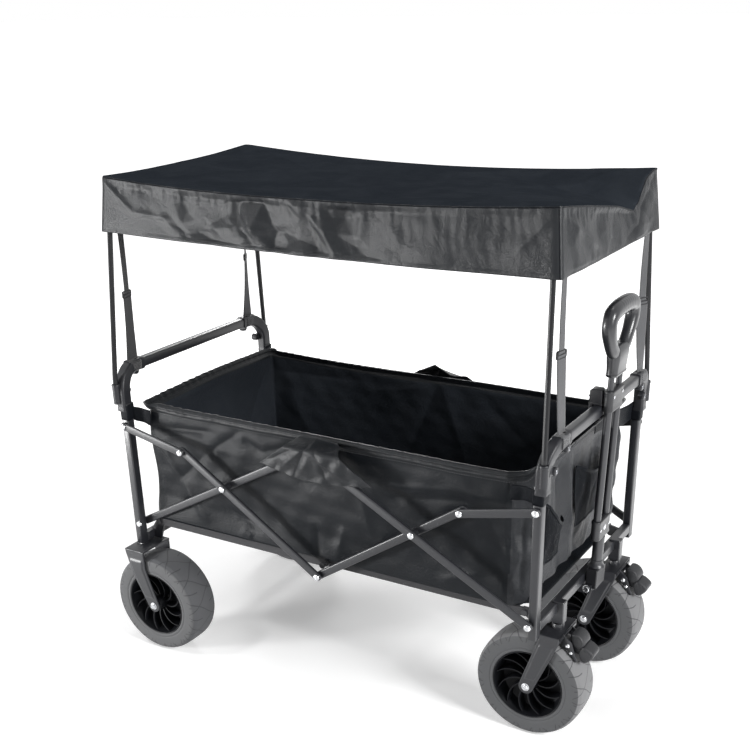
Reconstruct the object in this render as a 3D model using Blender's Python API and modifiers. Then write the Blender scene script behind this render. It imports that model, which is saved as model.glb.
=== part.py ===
"""Folding camping cart with a lift-off canopy: the construction of its parts.

Metres, Z up, the floor at zero. X runs from the rear end to the handle end, and Y from the near
side (negative) to the far side. "Cart point" below means a point measured from the middle between
the four posts, on the floor.
"""
import math

import bmesh
import bpy
from mathutils import Matrix, Vector

SIDES = {"near": -1, "far": 1}
ENDS = {"rear": -1, "front": 1}

# Clearances
GAP = 0.0004            # between pieces that touch
PIN_PLAY = 0.0005       # radial play of a pin in its hole
LAYER_GAP = 0.0006      # between flat bars that slide past each other

# Wheels, whose top every height above them counts from
WHEEL_RADIUS = 0.1050
WHEEL_TOP = 2 * WHEEL_RADIUS
TYRE_WIDTH = 0.0720
TYRE_FACE_RADIUS = WHEEL_RADIUS - 0.0065
TYRE_SHOULDER = 0.0280      # half width of the flat of the tread
TYRE_CROWN = 0.0008
WHEEL_STEPS = 28
RIM_RADIUS = 0.0690
HUB_FACE_INSET = 0.0010
HUB_DISH_DEPTH = 0.0290
HUB_DISH_TAPER = 0.0100
HUB_CORE_RADIUS = 0.0150
HUB_CORE_HALF = 0.0340
AXLE_RADIUS = 0.0040
REAR_AXLE_X = 0.4990 - WHEEL_RADIUS

# Posts and rails
POST_X = 0.443          # from the middle to a post's axis
POST_Y = 0.2346
POST_DEPTH = 0.016      # along X
POST_WIDTH = 0.019      # along Y
REAR_POST_FOOT = WHEEL_TOP + 0.0150
FRONT_POST_FOOT = WHEEL_TOP + 0.0320
POST_TOP = WHEEL_TOP + 0.3200
EDGE_ROUND = 0.0016
RAIL_X = 0.456
RAIL_Z = WHEEL_TOP + 0.3840
RAIL_DEPTH = 0.018
RAIL_HEIGHT = 0.020
ELBOW_WIDTH = 0.024
ELBOW_BEND = 0.046
REAR_TUBE_BOTTOM = WHEEL_TOP + 0.0164
REAR_TUBE_HEIGHT = 0.018
FRONT_TUBE_BOTTOM = WHEEL_TOP + 0.0440
FRONT_TUBE_HEIGHT = 0.019

# Scissor bars
BAR_HEIGHT = 0.016
BAR_THICK = 0.008
LINK_THICK = 0.006
INNER_BAR_INSET = 0.0011    # from a post's inner face to the inner bar
HANGER_LAYER = 0.0080       # inner faces of the outer hanger bars, in from the posts' outer face
PIVOT_X = 0.438             # lower bar pivots on the posts
PIVOT_Z = WHEEL_TOP + 0.0610
TOP_Z = WHEEL_TOP + 0.2980  # where the long bars meet over the middle
CROSS_X = 0.211             # where a long bar and a hanger bar cross
LOW_Z = WHEEL_TOP + 0.0450  # where the hanger bars meet under the middle
HANGER_TAIL_LENGTH = 0.111  # from the crossing on to the link
LINK_BOLT_Z = WHEEL_TOP + 0.2750
PIN_RADIUS = 0.004
BOSS_RADIUS = 0.0070
HEAD_RADIUS = 0.0065
HEAD_THICK = 0.0032

# Base under the basket
BASE_PIVOT_X = 0.412
BASE_RAIL_HEIGHT = 0.0155
BASE_RAIL_THICK = 0.006
BASE_RAIL_CLEARANCE = 0.0006
BASE_BOARD_THICK = 0.005
BASE_BOARD_CUTBACK = 0.092  # each board ends this far short of the middle
BASE_BOARD_INSET = 0.016
BASE_LUG_THICK = 0.004

# Basket and canopy, both of cloth
CLOTH = 0.0020
BASKET_Y = 0.2140
BASKET_FLOOR_Y = 0.2130     # the walls lean out a little from the floor
BASKET_REAR_X = 0.4150
BASKET_FRONT_X = 0.4310
BASKET_FLOOR_HALF = 0.4110
BASKET_RIM_Y = 0.2255
BASKET_SHOULDER_Z = WHEEL_TOP + 0.3075
BASKET_RIM_Z = WHEEL_TOP + 0.3190
BASKET_FRONT_RISE = 0.0230
BASKET_FRONT_FOOT_Z = WHEEL_TOP + 0.1020
SKIRT_BOTTOM = WHEEL_TOP + 0.0520
POCKET_DEPTH = 0.0140
POCKET_FLOOR_Z = WHEEL_TOP + 0.1650
POCKET_TOPS = {"near": WHEEL_TOP + 0.2600, "far": WHEEL_TOP + 0.2800}
POCKET_SPANS = {"near": (-0.200, -0.105), "far": (-0.045, 0.085)}
FLAP_HALF = 0.044           # half width where it leaves the rim
FLAP_REAR_X = 0.1056        # its two side points and how far down it they sit
FLAP_REAR_SHARE = 0.6
FLAP_FRONT_X = 0.1232
FLAP_FRONT_SHARE = 0.5
FLAP_LOW_Z = WHEEL_TOP + 0.2460
CANOPY_TOP_Z = WHEEL_TOP + 0.7580
CANOPY_HEM_Z = WHEEL_TOP + 0.6500
CANOPY_TOP_X = 0.4460
CANOPY_TOP_Y = 0.2210
CANOPY_HEM_X = 0.4570
CANOPY_HEM_Y = 0.2300
STRAP_WIDTH = 0.0260
STRAP_Y = 0.1900
POLE_RADIUS = 0.0050
POLE_SOCKET_Y = 0.2466
POLE_SOCKET_X = 0.4530
POLE_SOCKET_HEIGHT = 0.040
POLE_SOCKET_WALL = 0.0022
POLE_TOP_X = 0.4400
POLE_TOP_Y = 0.2130
POLE_TOP_Z = CANOPY_TOP_Z - 0.0100

# Forks and casters
FORK_GAP = 0.0780
FORK_SHEET = 0.0030
FORK_LEG_ROUND = 0.0140
LEG_SHOULDER = 0.0060       # straight top of a leg before it tapers
LEG_SETBACK = 0.0010
REAR_LEG_BACK = (0.0140, 0.0550)    # corner behind a rear leg: in from the plate's edge, and down
REAR_LEG_FRONT_DROP = 0.0400
AXLE_HEAD_RADIUS = 0.0075
AXLE_HEAD_THICK = 0.0045
REAR_PLATE_BACK = 0.4560
REAR_PLATE_FRONT = 0.4080
CASTER_X = 0.4515
CASTER_Y = 0.1430
CASTER_TRAIL = WHEEL_RADIUS - 0.0640
CASTER_PLATE_TOP = WHEEL_TOP + 0.0120
CASTER_PLATE_BACK = 0.4320
CASTER_PLATE_FRONT = 0.4700
CASTER_FLANGE_DROP = 0.0120
CASTER_BOSS_RADIUS = 0.0110
CASTER_BOSS_HEIGHT = 0.0096
STEM_DEPTH = 0.023
STEM_WIDTH = 0.018
STEM_TOP = WHEEL_TOP + 0.0660

# Brake pedals
PEDAL_X = 0.4790
PEDAL_Z = WHEEL_TOP - 0.0090
PEDAL_WIDTH = 0.0350
PEDAL_HUB_RADIUS = 0.0065
PEDAL_UPPER_LOBE = (0.4920, WHEEL_TOP + 0.0020, 0.0110)    # x, height and radius
PEDAL_LOWER_LOBE = (0.5140, WHEEL_TOP - 0.0270, 0.0125)
PEDAL_EAR_THICK = 0.0030
PEDAL_EAR_DROP = 0.0040         # how far the ears reach down at the fork, and under the pin
PEDAL_EAR_LOW = 0.0100
PEDAL_TONGUE_DROP = 0.0300
PEDAL_TONGUE_TIP = 0.0020

# Handle
HANDLE_PIVOT_X = 0.4575
HANDLE_PIVOT_Z = WHEEL_TOP + 0.0350
HANDLE_FOOT_X = 0.4640
HANDLE_FOOT_Z = WHEEL_TOP + 0.0580
HANDLE_LEAN = math.radians(1.7)
FOOT_WIDTH = 0.0450
FOOT_DEPTH = 0.0210
FOOT_RADIUS = 0.0090
FOOT_TOP = 0.0160           # heights along the handle count from the middle of its foot
LOWER_TUBE_RADIUS = 0.0105
LOWER_CLAMP_BOTTOM = 0.0790
LOWER_CLAMP_TOP = 0.1170
CLAMP_WIDTH = 0.0620
CLAMP_DEPTH = 0.0168
TWIN_Y = 0.0205
TWIN_RADIUS = 0.0070
TWIN_WALL = 0.0012
UPPER_CLAMP_BOTTOM = 0.3260
UPPER_CLAMP_TOP = 0.3640
SLIDE_RADIUS = 0.0053
SLIDE_FOOT = 0.1400
COLLAR_BOTTOM = 0.3890
COLLAR_TOP = 0.4220
COLLAR_WIDTH = 0.0620
COLLAR_DEPTH = 0.0250
GRIP_HALF = 0.0590
GRIP_TUBE = 0.0148
GRIP_TOP = 0.5060
GRIP_BOTTOM = 0.4320
GRIP_CORNER_SHARE = 0.6     # radius of the upper corners against the loop's height
GRIP_SHOULDER_IN = 0.0140
GRIP_SHOULDER_UP = 0.0200
BRACKET_EAR = 0.0030
CLIP_WIDTH = 0.0600
CLIP_TOP = WHEEL_TOP + 0.4230
CLIP_BACK = 0.4405
CLIP_WALL = 0.0050

# Where the middle of the whole cart lies against the middle between the posts
OVERALL_REAR = -REAR_AXLE_X - WHEEL_RADIUS
OVERALL_FRONT = PEDAL_LOWER_LOBE[0] + PEDAL_LOWER_LOBE[2]
MIDDLE_X = (OVERALL_REAR + OVERALL_FRONT) / 2

# Levels across the cart, outward from the middle, that follow from the sizes above
POST_INNER = POST_Y - POST_WIDTH / 2
POST_OUTER = POST_Y + POST_WIDTH / 2
INNER_BAR = (POST_INNER - INNER_BAR_INSET - BAR_THICK, POST_INNER - INNER_BAR_INSET)
OUTER_BAR = (POST_OUTER + LAYER_GAP, POST_OUTER + LAYER_GAP + BAR_THICK)
REAR_HANGER = (POST_OUTER - HANGER_LAYER, POST_OUTER)
FRONT_HANGER = (REAR_HANGER[0] - 2 * LAYER_GAP - BAR_THICK, REAR_HANGER[0] - 2 * LAYER_GAP)
LINK = (POST_OUTER + LAYER_GAP, POST_OUTER + LAYER_GAP + LINK_THICK)
REAR_RAIL = (BASKET_Y - CLOTH - BASE_RAIL_CLEARANCE - BASE_RAIL_THICK,
             BASKET_Y - CLOTH - BASE_RAIL_CLEARANCE)
FRONT_RAIL = (REAR_RAIL[0] - LAYER_GAP - BASE_RAIL_THICK, REAR_RAIL[0] - LAYER_GAP)

LOOKS = {
    "powder coat": ((0.045, 0.047, 0.052), 0.42, 0.55),
    "black plastic": ((0.012, 0.012, 0.013), 0.45, 0.0),
    "grip plastic": ((0.030, 0.031, 0.033), 0.22, 0.0),
    "chrome": ((0.62, 0.62, 0.63), 0.15, 1.0),
    "rubber": ((0.085, 0.085, 0.088), 0.75, 0.0),
    "hub plastic": ((0.010, 0.010, 0.011), 0.25, 0.0),
    "cloth": ((0.022, 0.023, 0.026), 0.85, 0.0),
    "board": ((0.020, 0.020, 0.022), 0.80, 0.0),
}


def clear_scene():
    """Remove everything that the file opened with."""
    for thing in list(bpy.data.objects):
        bpy.data.objects.remove(thing)


def collection(name):
    """Return the named collection, made under the scene on first use."""
    found = bpy.data.collections.get(name)
    if found is None:
        found = bpy.data.collections.new(name)
        bpy.context.scene.collection.children.link(found)
    return found


def look_of(name, owner):
    """Return a material of the named look for one object."""
    colour, roughness, metallic = LOOKS[name]
    material = bpy.data.materials.new(owner + " " + name)
    material.use_nodes = True
    shader = material.node_tree.nodes["Principled BSDF"]
    shader.inputs["Base Color"].default_value = (*colour, 1.0)
    shader.inputs["Roughness"].default_value = roughness
    shader.inputs["Metallic"].default_value = metallic
    return material


class Joint:
    """An empty on a joint's axis, which the pieces that move with it are parented to."""

    def __init__(self, name, at, parent=None, lean=0.0):
        self.at = Vector(at)
        self.turn = Matrix.Rotation(lean, 4, "Y")
        self.world = Matrix.Translation(self.at) @ self.turn
        self.empty = bpy.data.objects.new(name, None)
        self.empty.empty_display_size = 0.03
        collection("camping_cart").objects.link(self.empty)
        if parent is not None:
            self.empty.parent = parent.empty
            self.empty.matrix_local = parent.world.inverted() @ self.world

    def adopt(self, piece, at):
        """Parent a piece whose own origin stands at a cart point."""
        piece.parent = self.empty
        piece.matrix_local = self.world.inverted() @ Matrix.Translation(Vector(at))


def block(size, rounding=0.0):
    """A box about its own middle, with rounded edges."""
    shape = bmesh.new()
    bmesh.ops.create_cube(shape, size=1.0)
    bmesh.ops.scale(shape, vec=size, verts=shape.verts)
    if rounding > 0.0:
        bmesh.ops.bevel(shape, geom=list(shape.edges), offset=rounding, segments=1, affect="EDGES")
    return finished(shape)


def rod(radius, length, axis="Y", sides=12):
    """A cylinder about its own middle along one axis."""
    shape = bmesh.new()
    bmesh.ops.create_cone(shape, cap_ends=True, segments=sides, radius1=radius, radius2=radius,
                          depth=length)
    turn = {"X": Matrix.Rotation(math.pi / 2, 4, "Y"), "Y": Matrix.Rotation(math.pi / 2, 4, "X"),
            "Z": Matrix.Identity(4)}[axis]
    bmesh.ops.transform(shape, matrix=turn, verts=shape.verts)
    return finished(shape)


def finished(shape):
    """Turn an edit mesh into a mesh with its faces outwards."""
    bmesh.ops.recalc_face_normals(shape, faces=shape.faces)
    mesh = bpy.data.meshes.new("shape")
    shape.to_mesh(mesh)
    shape.free()
    return mesh


def curve_mesh(curve, matrix=None, weld=0.00002):
    """Turn a curve into a closed mesh and remove the curve."""
    holder = bpy.data.objects.new("outline", curve)
    collection("camping_cart").objects.link(holder)
    graph = bpy.context.evaluated_depsgraph_get()
    mesh = bpy.data.meshes.new_from_object(holder.evaluated_get(graph))
    shape = bmesh.new()
    shape.from_mesh(mesh)
    bmesh.ops.remove_doubles(shape, verts=shape.verts, dist=weld)
    if matrix is not None:
        bmesh.ops.transform(shape, matrix=matrix, verts=shape.verts)
    bpy.data.objects.remove(holder)
    return finished(shape)


def plate(points, thickness):
    """A flat outline of (x, z) points, given its thickness along Y about its own middle."""
    curve = bpy.data.curves.new("outline", "CURVE")
    curve.dimensions = "2D"
    curve.fill_mode = "BOTH"
    curve.extrude = thickness / 2
    spline = curve.splines.new("POLY")
    spline.points.add(len(points) - 1)
    for point, (x, z) in zip(spline.points, points):
        point.co = (x, z, 0.0, 1.0)
    spline.use_cyclic_u = True
    return curve_mesh(curve, Matrix.Rotation(math.pi / 2, 4, "X"))


def tube(points, radius, closed=False, sides=2):
    """A round tube along a list of points, with filled ends."""
    curve = bpy.data.curves.new("route", "CURVE")
    curve.dimensions = "3D"
    curve.bevel_depth = radius
    curve.bevel_resolution = sides
    curve.use_fill_caps = not closed
    spline = curve.splines.new("POLY")
    spline.points.add(len(points) - 1)
    for point, place in zip(spline.points, points):
        point.co = (*place, 1.0)
    spline.use_cyclic_u = closed
    return curve_mesh(curve)


def arc(middle, radius, start, end, steps):
    """Points of an arc about a middle (x, z), angles in degrees from X towards Z."""
    turns = [math.radians(start + (end - start) * step / steps) for step in range(steps + 1)]
    return [(middle[0] + radius * math.cos(a), middle[1] + radius * math.sin(a)) for a in turns]


def bar_outline(start, end, height, steps=4):
    """A flat bar with round ends about two (x, z) points."""
    heading = math.degrees(math.atan2(end[1] - start[1], end[0] - start[0]))
    return (arc(start, height / 2, heading + 90, heading + 270, steps)
            + arc(end, height / 2, heading - 90, heading + 90, steps))


def add_piece(name, mesh, look, joint, at, smooth=True):
    """Link a mesh as one named piece at a cart point."""
    piece = bpy.data.objects.new(name, mesh)
    collection("camping_cart").objects.link(piece)
    mesh.materials.clear()
    mesh.materials.append(look_of(look, name))
    joint.adopt(piece, at)
    if smooth:
        mesh.shade_smooth()
        mesh.set_sharp_from_angle(angle=math.radians(35))
    return piece


def combine(piece, mesh, joint, at, operation="UNION"):
    """Join a mesh at a cart point to a piece, or cut it out."""
    tool = bpy.data.objects.new(piece.name + " " + operation.lower(), mesh)
    collection("camping_cart tools").objects.link(tool)
    joint.adopt(tool, at)
    tool.hide_render = True
    tool.display_type = "WIRE"
    step = piece.modifiers.new(operation.title(), "BOOLEAN")
    step.operation = operation
    step.solver = "EXACT"
    step.object = tool


def span(mesh_of, side, inner, outer):
    """Length and middle, across the cart, of what runs between two levels on one side."""
    return mesh_of(outer - inner), side * (inner + outer) / 2


def add_pin(piece, joint, side, at, inner, outer, radius=PIN_RADIUS):
    """Join a round pin along Y between two levels to a piece."""
    mesh, y = span(lambda length: rod(radius, length), side, inner, outer)
    combine(piece, mesh, joint, (at[0], y, at[1]))


def cut_hole(piece, joint, side, at, inner, outer, radius=PIN_RADIUS + PIN_PLAY):
    """Cut a round hole along Y through what lies between two levels."""
    mesh, y = span(lambda length: rod(radius, length + 4 * GAP), side, inner, outer)
    combine(piece, mesh, joint, (at[0], y, at[1]), "DIFFERENCE")


def flat_bar(name, look, joint, side, start, end, level, height=BAR_HEIGHT):
    """A flat bar between two (x, z) cart points, at one level across the cart."""
    outline = [(x - start[0], z - start[1]) for x, z in bar_outline(start, end, height)]
    mesh, y = span(lambda thick: plate(outline, thick), side, *level)
    return add_piece(name, mesh, look, joint, (start[0], y, start[1]), smooth=False)


def make_post(end, side_name, joint):
    """One corner post with the bolts that the folding bars turn on."""
    side = SIDES[side_name]
    x_sign = ENDS[end]
    foot = (REAR_POST_FOOT if end == "rear" else FRONT_POST_FOOT) + GAP
    top = POST_TOP - GAP
    mesh = block((POST_DEPTH, POST_WIDTH, top - foot), EDGE_ROUND)
    post = add_piece("%s_post_%s" % (end, side_name), mesh, "powder coat", joint,
                     (x_sign * POST_X, side * POST_Y, (foot + top) / 2), smooth=False)
    pivot = (x_sign * PIVOT_X, PIVOT_Z)
    if end == "rear":
        head = INNER_BAR[0] - LAYER_GAP
        add_pin(post, joint, side, pivot, head - GAP, POST_Y)
        add_pin(post, joint, side, pivot, head - HEAD_THICK, head, HEAD_RADIUS)
        add_pin(post, joint, side, pivot, POST_Y, POST_OUTER + HEAD_THICK, HEAD_RADIUS)
    else:
        head = OUTER_BAR[1] + LAYER_GAP
        add_pin(post, joint, side, pivot, POST_Y, head + GAP)
        add_pin(post, joint, side, pivot, head, head + HEAD_THICK, HEAD_RADIUS)
    link_bolt = (x_sign * POST_X, LINK_BOLT_Z)
    head = LINK[1] + LAYER_GAP
    add_pin(post, joint, side, link_bolt, POST_Y, head + GAP)
    add_pin(post, joint, side, link_bolt, head, head + HEAD_THICK, HEAD_RADIUS)
    return post


def make_elbow(end, side_name, joint):
    """The plastic corner between a post and its push rail, with the socket of a canopy pole."""
    side = SIDES[side_name]
    x_sign = ENDS[end]
    bend_top = arc((POST_Y - ELBOW_BEND, RAIL_Z - ELBOW_BEND), ELBOW_BEND, 0, 90, 4)
    start_x = POST_X + POST_DEPTH / 4
    route = [(start_x, POST_Y, POST_TOP), (start_x, POST_Y, POST_TOP + ELBOW_WIDTH / 3)]
    for step, (y, z) in enumerate(bend_top):
        blend = min(1.0, (step + 1) / 3)
        route.append((start_x + (RAIL_X - start_x) * blend, y, z))
    route.append((RAIL_X, POST_Y - ELBOW_BEND - 2 * GAP, RAIL_Z))
    base = Vector((x_sign * POST_X, side * POST_Y, POST_TOP))
    points = [(x_sign * x - base.x, side * y - base.y, z - base.z) for x, y, z in route]
    mesh = tube(points, ELBOW_WIDTH / 2)
    elbow = add_piece("%s_elbow_%s" % (end, side_name), mesh, "black plastic", joint, base)
    socket = (x_sign * POLE_SOCKET_X, side * POLE_SOCKET_Y)
    bore = POLE_RADIUS + PIN_PLAY
    middle = POST_TOP + 2 * GAP + POLE_SOCKET_HEIGHT / 2
    combine(elbow, rod(bore + POLE_SOCKET_WALL, POLE_SOCKET_HEIGHT, "Z", 16), joint,
            (*socket, middle))
    combine(elbow, rod(bore, POLE_SOCKET_HEIGHT, "Z", 16), joint,
            (*socket, middle + POLE_SOCKET_WALL), "DIFFERENCE")
    return elbow


def make_push_rail(end, joint):
    """The rail across one end between its two elbows."""
    length = 2 * (POST_Y - ELBOW_BEND - 3 * GAP)
    mesh = block((RAIL_DEPTH, length, RAIL_HEIGHT), 2 * EDGE_ROUND)
    add_piece("%s_push_rail" % end, mesh, "powder coat", joint,
              (ENDS[end] * RAIL_X, 0.0, RAIL_Z), smooth=False)


def base_lug(piece, joint, end, rail, tube_middle, tube_height):
    """Join the lug and pin of a base rail to a cross tube, on both sides."""
    x_sign = ENDS[end]
    pivot = (x_sign * BASE_PIVOT_X, PIVOT_Z)
    level = (rail[0] - LAYER_GAP - BASE_LUG_THICK, rail[0] - LAYER_GAP)
    reach = BOSS_RADIUS - GAP
    low, high = tube_middle - tube_height / 2, tube_middle + tube_height / 2
    outline = [(x_sign * POST_X, low + GAP), (x_sign * (BASE_PIVOT_X + reach), low + GAP)]
    if low < PIVOT_Z - 2 * reach:
        outline.append((x_sign * (BASE_PIVOT_X - reach), PIVOT_Z - reach))
    else:
        outline.append((x_sign * (BASE_PIVOT_X - reach), low + GAP))
    outline += [(x_sign * (BASE_PIVOT_X - reach), PIVOT_Z + reach),
                (x_sign * (BASE_PIVOT_X + reach), PIVOT_Z + reach),
                (x_sign * POST_X, high - GAP)]
    for side in SIDES.values():
        mesh, y = span(lambda thick: plate(outline, thick), side, *level)
        combine(piece, mesh, joint, (0.0, y, 0.0))
        add_pin(piece, joint, side, pivot, (level[0] + level[1]) / 2, rail[1] + 2 * GAP)
        add_pin(piece, joint, side, pivot, rail[1] + GAP, rail[1] + GAP + HEAD_THICK,
                HEAD_RADIUS - 2 * GAP)


def make_rear_cross_tube(joint):
    """The tube between the rear posts, just above the wheel forks, with the base's lugs."""
    middle = REAR_TUBE_BOTTOM + REAR_TUBE_HEIGHT / 2
    mesh = block((POST_DEPTH, 2 * (POST_INNER - GAP), REAR_TUBE_HEIGHT), EDGE_ROUND)
    piece = add_piece("rear_cross_tube", mesh, "powder coat", joint, (-POST_X, 0.0, middle),
                      smooth=False)
    base_lug(piece, joint, "rear", REAR_RAIL, middle, REAR_TUBE_HEIGHT)


def make_front_cross_frame(joint):
    """The tube between the front posts, the two caster stems and their kingpins."""
    middle = FRONT_TUBE_BOTTOM + FRONT_TUBE_HEIGHT / 2
    mesh = block((POST_DEPTH, 2 * (POST_INNER - GAP), FRONT_TUBE_HEIGHT), EDGE_ROUND)
    piece = add_piece("front_cross_frame", mesh, "powder coat", joint, (POST_X, 0.0, middle),
                      smooth=False)
    base_lug(piece, joint, "front", FRONT_RAIL, middle, FRONT_TUBE_HEIGHT)
    stem_foot = CASTER_PLATE_TOP + CASTER_BOSS_HEIGHT + GAP
    for side in SIDES.values():
        y = side * CASTER_Y
        combine(piece, block((STEM_DEPTH, STEM_WIDTH, STEM_TOP - stem_foot), EDGE_ROUND), joint,
                (CASTER_X, y, (STEM_TOP + stem_foot) / 2))
        pin_foot = CASTER_PLATE_TOP - FORK_SHEET - GAP
        combine(piece, rod(PIN_RADIUS, STEM_TOP - pin_foot - STEM_WIDTH / 2, "Z"), joint,
                (CASTER_X, y, (STEM_TOP - STEM_WIDTH / 2 + pin_foot) / 2))
        combine(piece, rod(HEAD_RADIUS, HEAD_THICK, "Z"), joint,
                (CASTER_X, y, pin_foot + GAP / 2 - HEAD_THICK / 2))


def make_fork(name, joint, middle_y, plate_back, plate_front, plate_top, leg, axle_x):
    """A bent sheet fork: a flat plate and a leg each side of the wheel, down to the axle."""
    low = plate_top - FORK_SHEET
    length = abs(plate_front - plate_back) + 2 * GAP
    mesh = block((length, FORK_GAP + FORK_SHEET, FORK_SHEET))
    fork = add_piece(name, mesh, "powder coat", joint,
                     ((plate_back + plate_front) / 2, middle_y, (low + plate_top) / 2),
                     smooth=False)
    for hand in (-1, 1):
        y = middle_y + hand * (FORK_GAP + FORK_SHEET) / 2
        outline = [(x, min(z - plate_top, -GAP)) for x, z in leg]
        combine(fork, plate(outline, FORK_SHEET), joint, (0.0, y, plate_top))
    hole = rod(AXLE_RADIUS + PIN_PLAY, 2 * FORK_GAP)
    combine(fork, hole, joint, (axle_x, middle_y, WHEEL_RADIUS), "DIFFERENCE")
    return fork


def make_axle_bolt(name, joint, x, middle_y):
    """The bolt through a fork and its wheel, with a head at each end."""
    half = FORK_GAP / 2 + FORK_SHEET + GAP
    mesh = rod(AXLE_RADIUS, 2 * half + AXLE_HEAD_THICK)
    bolt = add_piece(name, mesh, "chrome", joint, (x, middle_y, WHEEL_RADIUS))
    for hand in (-1, 1):
        combine(bolt, rod(AXLE_HEAD_RADIUS, AXLE_HEAD_THICK), joint,
                (x, middle_y + hand * (half + AXLE_HEAD_THICK / 2), WHEEL_RADIUS))


def turned(name, profile, steps, look, joint, at):
    """A ring turned about Y from a closed (radius, height) profile."""
    mesh = bpy.data.meshes.new(name)
    vertices = [(radius, 0.0, height) for radius, height in profile]
    edges = [(i, (i + 1) % len(profile)) for i in range(len(profile))]
    mesh.from_pydata(vertices, edges, [])
    piece = add_piece(name, mesh, look, joint, at, smooth=False)
    piece.matrix_local = piece.matrix_local @ Matrix.Rotation(math.pi / 2, 4, "X")
    screw = piece.modifiers.new("Turn", "SCREW")
    screw.steps = steps
    screw.render_steps = steps
    screw.use_merge_vertices = True
    screw.merge_threshold = 0.00001
    screw.use_normal_calculate = False
    screw.use_smooth_shade = True
    return piece


def make_wheel(name, joint, x, middle_y):
    """A tyre and its dished hub on one axle."""
    half = TYRE_WIDTH / 2
    tread = WHEEL_RADIUS - TYRE_CROWN
    tyre = [(RIM_RADIUS, half), (TYRE_FACE_RADIUS, half), (tread, TYRE_SHOULDER),
            (WHEEL_RADIUS, TYRE_SHOULDER / 2), (WHEEL_RADIUS, -TYRE_SHOULDER / 2),
            (tread, -TYRE_SHOULDER), (TYRE_FACE_RADIUS, -half), (RIM_RADIUS, -half)]
    turned("%s_tyre" % name, tyre, WHEEL_STEPS, "rubber", joint, (x, middle_y, WHEEL_RADIUS))
    rim = RIM_RADIUS - GAP
    face = half - HUB_FACE_INSET
    dish = face - HUB_DISH_DEPTH
    bore = AXLE_RADIUS + PIN_PLAY
    foot = RIM_RADIUS - HUB_DISH_TAPER
    hub = [(bore, HUB_CORE_HALF), (HUB_CORE_RADIUS, dish), (foot, dish), (rim, face),
           (rim, -face), (foot, -dish), (HUB_CORE_RADIUS, -dish), (bore, -HUB_CORE_HALF)]
    turned("%s_hub" % name, hub, WHEEL_STEPS, "hub plastic", joint, (x, middle_y, WHEEL_RADIUS))


def make_rear_wheels(frame):
    """The two fixed rear forks with their bolts and wheels."""
    for side_name, side in SIDES.items():
        y = side * POST_Y
        axle = (-REAR_AXLE_X, WHEEL_RADIUS)
        leg = ([(-REAR_PLATE_BACK, REAR_POST_FOOT),
                (-REAR_PLATE_BACK, REAR_POST_FOOT - LEG_SHOULDER),
                (-REAR_PLATE_BACK + REAR_LEG_BACK[0], REAR_POST_FOOT - REAR_LEG_BACK[1])]
               + arc(axle, FORK_LEG_ROUND, 205, 375, 5)
               + [(-REAR_PLATE_FRONT + LEG_SETBACK, REAR_POST_FOOT - REAR_LEG_FRONT_DROP),
                  (-REAR_PLATE_FRONT, REAR_POST_FOOT - LEG_SHOULDER),
                  (-REAR_PLATE_FRONT, REAR_POST_FOOT)])
        make_fork("rear_fork_%s" % side_name, frame, y, -REAR_PLATE_BACK, -REAR_PLATE_FRONT,
                  REAR_POST_FOOT, leg, -REAR_AXLE_X)
        make_axle_bolt("rear_axle_bolt_%s" % side_name, frame, -REAR_AXLE_X, y)
        spin = Joint("rear_wheel_axis_%s" % side_name, (-REAR_AXLE_X, y, WHEEL_RADIUS), frame)
        make_wheel("rear_%s" % side_name, spin, -REAR_AXLE_X, y)


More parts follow.
